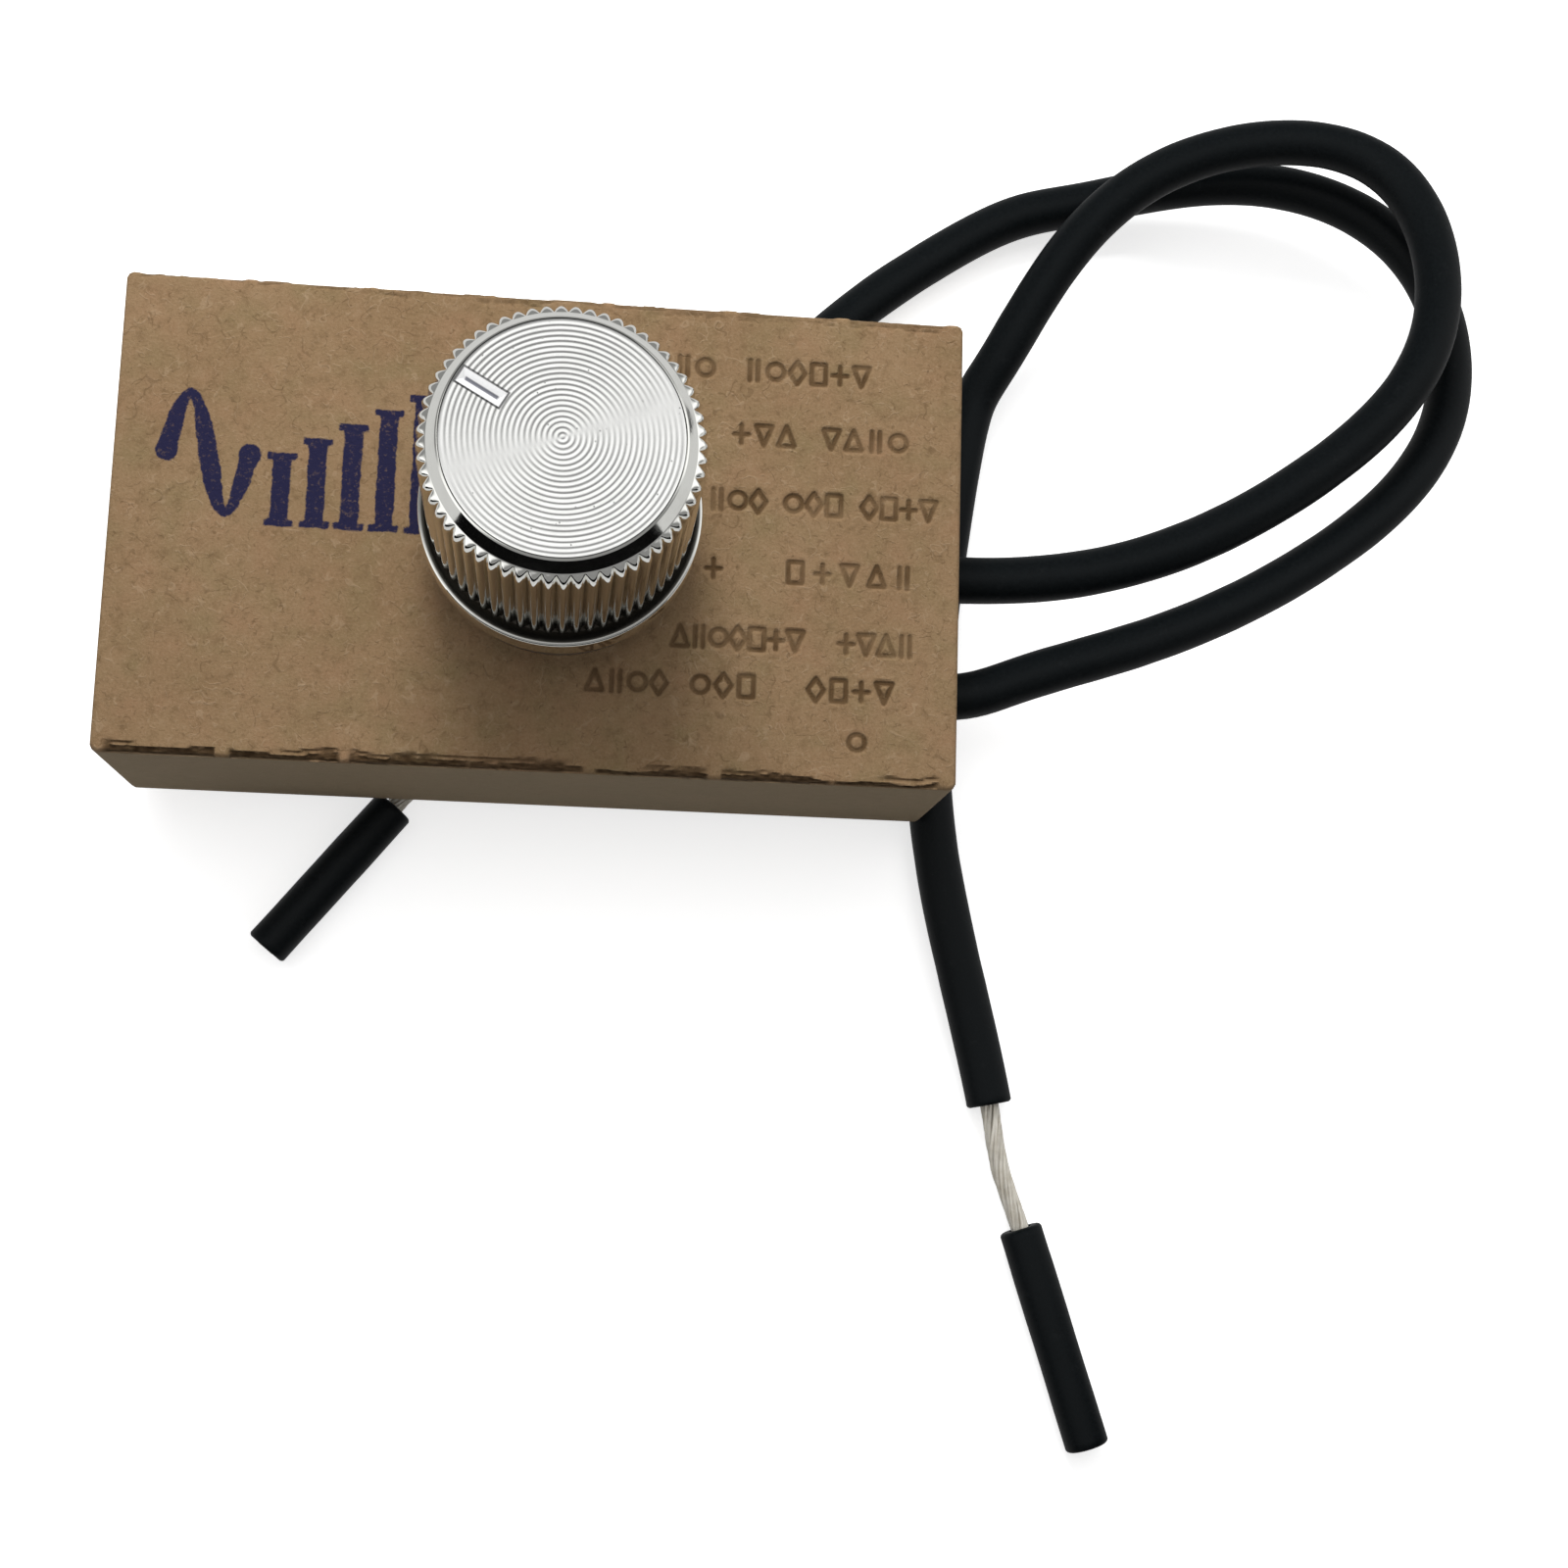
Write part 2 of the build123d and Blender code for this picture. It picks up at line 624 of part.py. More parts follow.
lead_a = Lead(
    exit_y=LEAD_A_Y,
    loop=[
        (26.0, -5.9, -6.0),
        (33.1, -3.3, -6.5),
        (45.3, 3.2, -7.5),
        (53.5, 13.1, -8.5),
        (51.9, 23.4, -9.7),
        (42.0, 28.2, -11.2),
        (31.0, 26.55, -12.7),
        *resting((20.4, 21.2)),
    ],
    landing=(-0.80, -0.60, 0),
    rest=resting((8.0, 8.1), (-4.3, -7.5)),
    end=(-0.65, -0.76, 0),
    bare=[],
    sleeve=resting((-9.0, -13.5), (-15.9, -22.1)),
)
lead_b = Lead(
    exit_y=LEAD_B_Y,
    loop=[
        (33.0, 1.6, -6.0),
        (44.6, 7.9, -5.4),
        (51.5, 17.2, -4.9),
        (48.9, 27.2, -5.8),
        (38.8, 28.3, -7.3),
        (30.5, 22.7, -9.8),
        (26.1, 15.3, -12.2),
        *resting((23.6, 5.0)),
    ],
    landing=(-0.13, -0.99, 0),
    rest=resting((22.9, -12.7), (26.66, -29.7)),
    end=(0.21, -0.978, 0),
    bare=resting((27.3, -33.3)),
    sleeve=resting((28.6, -36.9), (32.7, -49.2)),
)


# Knob ------------------------------------------------------------------------------------------------------

def knurled_band():
    """Straight knurl: a star-shaped prism with its tips chamfered at both ends."""
    count = 2 * KNURL_TEETH
    points = []
    for k in range(count):
        radius = KNURL_TIP if k % 2 == 0 else KNURL_ROOT
        angle = 2 * math.pi * k / count
        points.append((radius * math.cos(angle), radius * math.sin(angle)))
    star = make_face(Polyline(points, close=True))
    prism = Pos(0, 0, FLANGE_HIGH) * extrude(star, KNURL_HIGH - FLANGE_HIGH)
    inner = KNURL_TIP - KNURL_CHAMFER
    limit = turned(
        [
            (0, FLANGE_HIGH),
            (inner, FLANGE_HIGH),
            (KNURL_TIP, FLANGE_HIGH + KNURL_CHAMFER),
            (KNURL_TIP, KNURL_HIGH - KNURL_CHAMFER),
            (inner, KNURL_HIGH),
            (0, KNURL_HIGH),
        ]
    )
    return prism & limit


def knob_body():
    """Outside of the knob, solid, without the seat of the top disc."""
    core_radius = KNURL_ROOT - 0.2
    flange = fillet(disc(FLANGE_RADIUS, KNOB_LOW, FLANGE_HIGH).edges().sort_by(Axis.Z)[-1:], FLANGE_ROUND)
    crown = turned(
        [
            (0, KNURL_HIGH),
            (SHOULDER_FOOT, KNURL_HIGH),
            (SHOULDER_RADIUS, SHOULDER_HIGH),
            (DISC_RADIUS + 0.05, KNOB_HIGH),
            (0, KNOB_HIGH),
        ]
    )
    return flange + disc(core_radius, KNOB_LOW, KNURL_HIGH) + knurled_band() + crown


def knob_shell():
    """Moulded and metallised knob with a hub, four ribs and a flatted bore."""
    knob = knob_body() - disc(DISC_RADIUS, KNOB_HIGH - DISC_THICK, KNOB_HIGH)
    knob -= disc(KNOB_CAVITY, KNOB_LOW, HUB_LOW)
    knob -= ring(HUB_RADIUS, KNOB_CAVITY, HUB_LOW, CAVITY_HIGH)
    rib = block(HUB_RADIUS - 0.1, KNOB_CAVITY + 0.1, -RIB_WIDTH / 2, RIB_WIDTH / 2, RIB_LOW, CAVITY_HIGH)
    for k in range(4):
        knob += Rot(0, 0, 45 + 90 * k) * rib
    knob -= d_bar(SHAFT_RADIUS + SLIP, SHAFT_FLAT + SLIP, HUB_LOW, SHAFT_POCKET_HIGH)
    return knob - spring_pocket()


def spring_pocket():
    """Slot beside the flat of the bore."""
    return block(-1.7, 1.7, SHAFT_FLAT, SHAFT_FLAT + 0.4, HUB_LOW, SHAFT_POCKET_HIGH - 0.4)


def knob_grip_spring():
    """Leaf spring that presses on the shaft's flat."""
    near = SHAFT_FLAT + 0.08
    return block(-1.5, 1.5, near, near + 0.2, HUB_LOW + 0.3, SHAFT_POCKET_HIGH - 0.6)


def knob_top_disc():
    """Spun metal disc with the pointer recess."""
    face = disc(DISC_RADIUS, KNOB_HIGH - DISC_THICK, KNOB_HIGH)
    half = POINTER_WIDTH / 2
    recess = block(POINTER_INNER, POINTER_OUTER, -half, half, KNOB_HIGH - POINTER_DEPTH, KNOB_HIGH)
    return face - Rot(0, 0, POINTER_DEG) * recess


NODES = {
    "front_tray": front_tray,
    "rear_cover": rear_cover,
    "threaded_bushing": threaded_bushing,
    "lock_washer": lock_washer,
    "hex_nut": hex_nut,
    "control_housing": control_housing,
    "track_wafer": track_wafer,
    "resistance_track": resistance_track,
    "track_terminals": track_terminals,
    "switch_housing": switch_housing,
    "switch_contacts": switch_contacts,
    "lever_pivot_pin": lever_pivot_pin,
    "circuit_board": circuit_board,
    "solder_joints": solder_joints,
    "component_wires": component_wires,
    "triac_body": triac_body,
    "triac_tab": triac_tab,
    "triac_leads": triac_leads,
    "heat_sink": heat_sink,
    "heat_sink_rivet": heat_sink_rivet,
    "film_capacitor": lambda: box_capacitor(FILM_CAPACITOR),
    "timing_capacitor": lambda: box_capacitor(TIMING_CAPACITOR),
    "resistors": lambda: Compound([axial_body(part) for part in RESISTORS]),
    "diac": lambda: axial_body(DIAC),
    "choke_core": choke_core,
    "choke_winding": choke_winding,
    "lead_a_insulation": lead_a.insulation,
    "lead_a_conductor": lead_a.conductor,
    "lead_a_end_sleeve": lead_a.end_sleeve,
    "lead_b_insulation": lead_b.insulation,
    "lead_b_conductor": lead_b.conductor,
    "lead_b_end_sleeve": lead_b.end_sleeve,
    "shaft": shaft,
    "retaining_clip": retaining_clip,
    "wiper_rotor": wiper_rotor,
    "wiper_contact": wiper_contact,
    "switch_driver": switch_driver,
    "switch_lever": switch_lever,
    "moving_contact": moving_contact,
    "knob_shell": knob_shell,
    "knob_top_disc": knob_top_disc,
    "knob_grip_spring": knob_grip_spring,
}

for name, make in NODES.items():
    export_step(make(), f"parts/{name}.step")
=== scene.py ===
"""Looks of the rotary lamp dimmer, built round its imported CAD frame.

Lengths in this script are millimetres unless a name says otherwise; MM turns them into Blender's metres.
The frame's origin is where the knob's axis crosses the front face of the box, and +Z points out through the knob.
"""

import json
import math

import bmesh
import bpy
import numpy as np
from mathutils import Matrix, Vector


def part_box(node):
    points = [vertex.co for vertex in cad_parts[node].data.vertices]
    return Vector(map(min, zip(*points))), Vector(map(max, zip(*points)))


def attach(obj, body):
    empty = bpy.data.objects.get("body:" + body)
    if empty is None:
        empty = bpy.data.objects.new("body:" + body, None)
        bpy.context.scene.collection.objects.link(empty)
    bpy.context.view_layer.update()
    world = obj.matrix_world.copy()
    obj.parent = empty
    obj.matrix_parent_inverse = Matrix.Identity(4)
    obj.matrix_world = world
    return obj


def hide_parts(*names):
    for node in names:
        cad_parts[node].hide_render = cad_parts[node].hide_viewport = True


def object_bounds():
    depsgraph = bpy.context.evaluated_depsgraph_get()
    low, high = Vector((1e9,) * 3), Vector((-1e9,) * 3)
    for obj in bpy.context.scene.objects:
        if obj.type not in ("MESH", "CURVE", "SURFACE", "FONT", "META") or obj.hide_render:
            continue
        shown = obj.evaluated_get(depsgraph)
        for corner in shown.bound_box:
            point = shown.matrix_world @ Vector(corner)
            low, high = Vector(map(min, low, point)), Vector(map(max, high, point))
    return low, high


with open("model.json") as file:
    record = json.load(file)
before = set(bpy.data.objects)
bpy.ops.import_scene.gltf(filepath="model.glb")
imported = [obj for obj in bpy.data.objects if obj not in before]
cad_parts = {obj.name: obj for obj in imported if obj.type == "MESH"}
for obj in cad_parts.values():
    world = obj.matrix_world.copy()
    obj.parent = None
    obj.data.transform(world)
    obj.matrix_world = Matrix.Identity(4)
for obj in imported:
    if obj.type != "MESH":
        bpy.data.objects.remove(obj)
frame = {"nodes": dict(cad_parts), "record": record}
cad_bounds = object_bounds()

MM = 0.001
NODES = frame["nodes"]
SLOT_OF = {part["node"]: part["material_slot"] for part in frame["record"]["subparts"]}
MOUNTS = {mount["name"]: mount for mount in frame["record"]["mounts"]}


def box_mm(node):
    """Lowest and highest corner of a CAD node, in millimetres."""
    low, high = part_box(node)
    return np.array(low) / MM, np.array(high) / MM


# Sizes read from the frame
TRAY_LOW, TRAY_HIGH = box_mm("front_tray")
KNOB_LOW, KNOB_HIGH = box_mm("knob_shell")
DISC_LOW, DISC_HIGH = box_mm("knob_top_disc")
KNOB_RADIUS = KNOB_HIGH[0]
DISC_RADIUS = DISC_HIGH[0]
TRAY_THICK = 0.8

# Details that the frame doesn't hold
PANEL_HOLE = 5.1
LEAD_HOLE = 1.45
LEAD_START = 18.4
LEAD_BELOW = -8.0
POINTER_DEG = 150.5
POINTER_INNER = 3.25
POINTER_OUTER = 5.75
POINTER_WIDTH = 0.9


# Shapes in the plane of the face ------------------------------------------------------------------------------

def value_noise(x, y, cell, seed):
    """Smooth noise from -1 to 1 over a plane, with one random value per cell corner."""
    size = 64
    table = np.random.default_rng(seed).uniform(-1, 1, (size, size))
    u, v = x / cell, y / cell
    i, j = np.floor(u).astype(int), np.floor(v).astype(int)
    fu, fv = u - i, v - j
    fu, fv = fu * fu * (3 - 2 * fu), fv * fv * (3 - 2 * fv)
    near = table[i % size, j % size] * (1 - fu) + table[(i + 1) % size, j % size] * fu
    far = table[i % size, (j + 1) % size] * (1 - fu) + table[(i + 1) % size, (j + 1) % size] * fu
    return near * (1 - fv) + far * fv


def smooth_step(low, high, value):
    """0 below low, 1 above high, smooth between."""
    t = np.clip((value - low) / (high - low), 0, 1)
    return t * t * (3 - 2 * t)


def stroke_distance(x, y, strokes):
    """Distance from each point to the nearest of some polylines."""
    nearest = np.full(x.shape, 1e9)
    for stroke in strokes:
        for (ax, ay), (bx, by) in zip(stroke, stroke[1:]):
            dx, dy = bx - ax, by - ay
            along = np.clip(((x - ax) * dx + (y - ay) * dy) / (dx * dx + dy * dy + 1e-12), 0, 1)
            nearest = np.minimum(nearest, np.hypot(x - ax - along * dx, y - ay - along * dy))
    return nearest


def closed(*points):
    """Closed polyline."""
    return [*points, points[0]]


def circle(x, y, radius, count=14):
    """Circle as a closed polyline."""
    turns = [2 * math.pi * k / count for k in range(count + 1)]
    return [(x + radius * math.cos(turn), y + radius * math.sin(turn)) for turn in turns]


# Plain signs, none of them a letter, drawn in a cell 0.7 wide and 1 high
SIGNS = (
    [closed((0, 0.05), (0.6, 0.05), (0.6, 0.95), (0, 0.95))],
    [circle(0.3, 0.5, 0.36)],
    [closed((0.3, 0.95), (0.65, 0.08), (-0.05, 0.08))],
    [[(0.3, 0.1), (0.3, 0.9)], [(-0.02, 0.5), (0.62, 0.5)]],
    [closed((0.3, 0), (0.64, 0.5), (0.3, 1), (-0.04, 0.5))],
    [[(0.12, 0.05), (0.12, 0.95)], [(0.46, 0.05), (0.46, 0.95)]],
    [closed((0.3, 0.05), (0.65, 0.92), (-0.05, 0.92))],
)
# Rows of pressed signs: height of the row's middle, then (start, count, spacing) of each group
SIGN_ROWS = (
    (9.8, ((1.2, 6, 1.2), (9.9, 6, 1.2))),
    (6.1, ((9.3, 3, 1.25), (14.3, 4, 1.25))),
    (2.3, ((8.1, 3, 1.12), (12.3, 3, 1.12), (16.5, 4, 1.1))),
    (-1.6, ((8.0, 1, 1.2), (12.5, 5, 1.5))),
    (-5.45, ((6.3, 7, 1.05), (15.4, 4, 1.1))),
    (-8.1, ((1.8, 4, 1.15), (7.5, 3, 1.25), (13.8, 4, 1.25))),
)
SIGN_HEIGHT = 1.3
SIGN_STROKE = 0.12


def pressed_signs():
    """Strokes of every pressed sign on the face."""
    strokes = []
    order = 0
    for middle, groups in SIGN_ROWS:
        for start, count, spacing in groups:
            for k in range(count):
                left = start + k * spacing
                foot = middle - SIGN_HEIGHT / 2
                for line in SIGNS[order % len(SIGNS)]:
                    strokes.append([(left + px * SIGN_HEIGHT, foot + py * SIGN_HEIGHT) for px, py in line])
                order += 3
            order += 1
    strokes.append(circle(16.5, -10.9, 0.45))
    return strokes


STAMP_LEFT = -21.2
STAMP_FOOT = -0.4
STAMP_HEIGHT = 7.4
WAVE_WIDTH = 4.4
STAMP_BARS = 6
BAR_HALF = 0.50
BAR_SPACING = 1.85
SERIF_HALF = 0.80
SERIF_THICK = 0.20


def rectangle_distance(x, y, middle_x, middle_y, half_x, half_y):
    """Distance outside a rectangle, negative inside."""
    return np.maximum(np.abs(x - middle_x) - half_x, np.abs(y - middle_y) - half_y)


def wave_distance(x, y):
    """Distance outside one period of a wave, drawn thick where it is steep and with a ball at each end."""
    middle, swing, steps = STAMP_FOOT + STAMP_HEIGHT / 2, STAMP_HEIGHT * 0.45, 40
    turns = np.linspace(0, 2 * math.pi, steps + 1)
    points = [(STAMP_LEFT + WAVE_WIDTH * t / (2 * math.pi), middle + swing * math.sin(t)) for t in turns]
    distance = np.full(x.shape, 1e9)
    for start, end, turn in zip(points, points[1:], turns):
        half = 0.20 + 0.32 * math.cos(turn) ** 2
        distance = np.minimum(distance, stroke_distance(x, y, [[start, end]]) - half)
    for ball in (points[0], points[-1]):
        distance = np.minimum(distance, np.hypot(x - ball[0], y - ball[1]) - 0.62)
    return distance


def bars_distance(x, y):
    """Distance outside a row of bars with feet, each taller than the one before, as on a dimmer's scale."""
    distance = np.full(x.shape, 1e9)
    for k in range(STAMP_BARS):
        middle = STAMP_LEFT + WAVE_WIDTH + 1.75 + k * BAR_SPACING
        high = STAMP_HEIGHT * (k + 4.0) / (STAMP_BARS + 2.0)
        stem = rectangle_distance(x, y, middle, STAMP_FOOT + high / 2, BAR_HALF, high / 2)
        foot = rectangle_distance(x, y, middle, STAMP_FOOT, SERIF_HALF, SERIF_THICK)
        head = rectangle_distance(x, y, middle, STAMP_FOOT + high, SERIF_HALF, SERIF_THICK)
        distance = np.minimum.reduce([distance, stem, foot, head])
    return distance


# Mesh building ------------------------------------------------------------------------------------------------

def add_object(name, vertices, faces, smooth_deg=35.0):
    """Mesh object from millimetre vertices, shaded smooth except over sharp angles."""
    mesh = bpy.data.meshes.new(name)
    mesh.from_pydata((np.asarray(vertices, float) * MM).tolist(), [], faces)
    work = bmesh.new()
    work.from_mesh(mesh)
    bmesh.ops.recalc_face_normals(work, faces=work.faces)
    for face in work.faces:
        face.smooth = True
    work.to_mesh(mesh)
    work.free()
    mesh.set_sharp_from_angle(angle=math.radians(smooth_deg))
    piece = bpy.data.objects.new(name, mesh)
    bpy.context.scene.collection.objects.link(piece)
    return piece


def finish_piece(piece, body, slot, *stands_for):
    """Ride the piece on its body, give it its slot and material, and let it stand for CAD nodes."""
    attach(piece, body)
    if stands_for:
        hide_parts(*stands_for)
    piece.data.materials.clear()
    piece.data.materials.append(material_for(slot))
    return piece


def set_attribute(piece, name, values):
    """Store a number or a vector per vertex for the material to read."""
    values = np.asarray(values, np.float32)
    kind, field = ("FLOAT", "value") if values.ndim == 1 else ("FLOAT_VECTOR", "vector")
    layer = piece.data.attributes.new(name, kind, "POINT")
    layer.data.foreach_set(field, values.ravel())


def lathe(name, rows, count, loop=False, smooth_deg=35.0):
    """Turned solid about Z. Each row is (radius, height), and a radius may be an array over the angles.

    A first or last row of radius 0 closes to a point. With loop, the last row joins the first, as on a ring.
    """
    angles = np.arange(count) * 2 * math.pi / count
    vertices, starts, faces = [], [], []
    for radius, height in rows:
        starts.append(len(vertices))
        if np.isscalar(radius) and radius == 0:
            vertices.append((0, 0, height))
            continue
        ring = np.broadcast_to(radius, (count,))
        level = np.broadcast_to(height, (count,))
        vertices += list(zip(ring * np.cos(angles), ring * np.sin(angles), level))
    pairs = list(zip(range(len(rows) - 1), range(1, len(rows))))
    if loop:
        pairs.append((len(rows) - 1, 0))
    is_point = [np.isscalar(radius) and radius == 0 for radius, _ in rows]
    for a, b in pairs:
        for k in range(count):
            n = (k + 1) % count
            if is_point[a]:
                faces.append((starts[a], starts[b] + n, starts[b] + k))
            elif is_point[b]:
                faces.append((starts[a] + k, starts[a] + n, starts[b]))
            else:
                faces.append((starts[a] + k, starts[a] + n, starts[b] + n, starts[b] + k))
    return add_object(name, vertices, faces, smooth_deg)


def path_frames(path):
    """A tangent and two side vectors at each point of a path, turned as little as possible along it."""
    tangents = np.gradient(path, axis=0)
    tangents /= np.linalg.norm(tangents, axis=1)[:, None]
    side = np.cross(tangents[0], (0.0, 0.0, 1.0))
    if np.linalg.norm(side) < 1e-3:
        side = np.cross(tangents[0], (0.0, 1.0, 0.0))
    sides = []
    for tangent in tangents:
        side = side - tangent * (side @ tangent)
        side /= np.linalg.norm(side)
        sides.append(side)
    sides = np.array(sides)
    return tangents, sides, np.cross(tangents, sides)


def tube(name, path, radii, count, bore=0.0, smooth_deg=40.0):
    """Round bar or hollow tube along a path, its ends closed and slightly rounded by the radii given."""
    _, sides, ups = path_frames(path)
    angles = np.arange(count) * 2 * math.pi / count
    circle_points = np.cos(angles)[:, None, None] * sides + np.sin(angles)[:, None, None] * ups
    radii = np.broadcast_to(radii, (len(path),))
    outer = (path + circle_points * radii[:, None]).transpose(1, 0, 2)
    shells = [outer]
    if bore:
        shells.append((path + circle_points * bore).transpose(1, 0, 2))
    vertices = np.concatenate([shell.reshape(-1, 3) for shell in shells])
    last = len(path) - 1
    faces = []
    for s in range(len(shells)):
        base = s * len(path) * count
        for i in range(last):
            for k in range(count):
                n = (k + 1) % count
                row, above = base + i * count, base + (i + 1) * count
                faces.append((row + k, row + n, above + n, above + k))
    inner = len(path) * count
    for row in (0, last * count):
        if bore:
            for k in range(count):
                n = (k + 1) % count
                faces.append((row + k, row + n, inner + row + n, inner + row + k))
        else:
            faces.append(tuple(row + k for k in range(count)))
    return add_object(name, vertices, faces, smooth_deg)


def join(name, pieces):
    """One object out of several."""
    for chosen in bpy.context.selected_objects:
        chosen.select_set(False)
    for piece in pieces:
        piece.select_set(True)
    bpy.context.view_layer.objects.active = pieces[0]
    bpy.ops.object.join()
    pieces[0].name = name
    pieces[0].select_set(False)
    return pieces[0]


def cut(piece, cutters):
    """Cut other objects out of the piece, then remove them."""
    for cutter in cutters:
        modifier = piece.modifiers.new("cut", "BOOLEAN")
        modifier.operation = "DIFFERENCE"
        modifier.solver = "EXACT"
        modifier.object = cutter
    graph = bpy.context.evaluated_depsgraph_get()
    done = bpy.data.meshes.new_from_object(piece.evaluated_get(graph))
    piece.modifiers.clear()
    old = piece.data
    piece.data = done
    bpy.data.meshes.remove(old)
    for cutter in cutters:
        bpy.data.objects.remove(cutter)
    piece.data.set_sharp_from_angle(angle=math.radians(35))


# Materials ----------------------------------------------------------------------------------------------------

class Shader:
    """A material's node tree, with short calls for the nodes this scene uses. Coordinates are millimetres."""

    def __init__(self, name):
        self.material = bpy.data.materials.new(name)
        self.material.use_nodes = True
        self.tree = self.material.node_tree
        self.surface = self.tree.nodes["Principled BSDF"]
        place = self.tree.nodes.new("ShaderNodeTexCoord").outputs["Object"]
        self.mm = self.vector("MULTIPLY", place, (1 / MM, 1 / MM, 1 / MM))

    def node(self, kind, inputs, output=0, **settings):
        """Add a node, wire or set its inputs, and return one of its outputs."""
        made = self.tree.nodes.new(kind)
        for key, value in settings.items():
            setattr(made, key, value)
        for key, value in inputs.items():
            if isinstance(value, bpy.types.NodeSocket):
                self.tree.links.new(value, made.inputs[key])
            else:
                made.inputs[key].default_value = value
        return made.outputs[output]

    def vector(self, operation, a, b):
        return self.node("ShaderNodeVectorMath", {0: a, 1: b}, operation=operation)

    def math(self, operation, a, b=0.0, clamp=False):
        return self.node("ShaderNodeMath", {0: a, 1: b}, operation=operation, use_clamp=clamp)

    def noise(self, scale, detail=2.0, rough=0.5, place=None, stretch=None, turn=0.0, shift=0.0):
        """Noise with its scale in cells per millimetre, drawn out along a turned direction by stretch."""
        place = place or self.mm
        if stretch:
            settings = {"Vector": place, "Rotation": (0, 0, math.radians(turn)), "Scale": stretch}
            place = self.node("ShaderNodeMapping", settings, vector_type="TEXTURE")
        if shift:
            place = self.vector("ADD", place, (0, 0, shift))
        return self.node("ShaderNodeTexNoise", {"Vector": place, "Scale": scale, "Detail": detail, "Roughness": rough})

    def fibres(self, place, length, thin, share, shift):
        """Short curved fibres: thin lines where one noise crosses its middle, broken up by another noise."""
        middle = self.math("SUBTRACT", self.noise(1 / length, 1.0, 0.5, place, shift=shift), 0.5)
        line = self.spread(self.math("ABSOLUTE", middle), thin, thin * 0.3)
        broken = self.spread(self.noise(1.3 / length, 1.0, 0.5, place, shift=shift + 31.0), 0.62 - share, 0.66 - share)
        return self.math("MULTIPLY", line, broken)

    def cells(self, scale, place=None):
        """Distance to the nearest cell centre, in cells."""
        return self.node("ShaderNodeTexVoronoi", {"Vector": place or self.mm, "Scale": scale})

    def spread(self, value, low, high, to_low=0.0, to_high=1.0):
        """Remap a value, clamped."""
        inputs = {"Value": value, "From Min": low, "From Max": high, "To Min": to_low, "To Max": to_high}
        return self.node("ShaderNodeMapRange", inputs)

    def mix(self, factor, a, b, blend="MIX"):
        """Mix two colours."""
        made = self.tree.nodes.new("ShaderNodeMix")
        made.data_type = "RGBA"
        made.blend_type = blend
        for index, value in ((0, factor), (6, a), (7, b)):
            if isinstance(value, bpy.types.NodeSocket):
                self.tree.links.new(value, made.inputs[index])
            else:
                made.inputs[index].default_value = value if index == 0 else (*value, 1)[:4]
        return made.outputs[2]

    def attribute(self, name, output="Fac"):
        return self.node("ShaderNodeAttribute", {}, output=output, attribute_name=name)

    def split(self, vector, axis):
        return self.node("ShaderNodeSeparateXYZ", {0: vector}, output=axis)

    def radius(self):
        """Distance from the knob's axis."""
        flat = self.vector("MULTIPLY", self.mm, (1, 1, 0))
        return self.node("ShaderNodeVectorMath", {0: flat}, output="Value", operation="LENGTH")

    def bump(self, height, depth, normal=None):
        """Bump whose height of 1 stands for depth millimetres."""
        inputs = {"Height": height, "Distance": depth * MM, "Strength": 1.0}
        if normal:
            inputs["Normal"] = normal
        return self.node("ShaderNodeBump", inputs)

    def done(self, **inputs):
        """Wire the surface and return the material."""
        for key, value in inputs.items():
            socket = self.surface.inputs[key.replace("_", " ")]
            if isinstance(value, bpy.types.NodeSocket):
                self.tree.links.new(value, socket)
            elif isinstance(value, tuple):
                socket.default_value = (*value, 1)[:4]
            else:
                socket.default_value = value
        return self.material


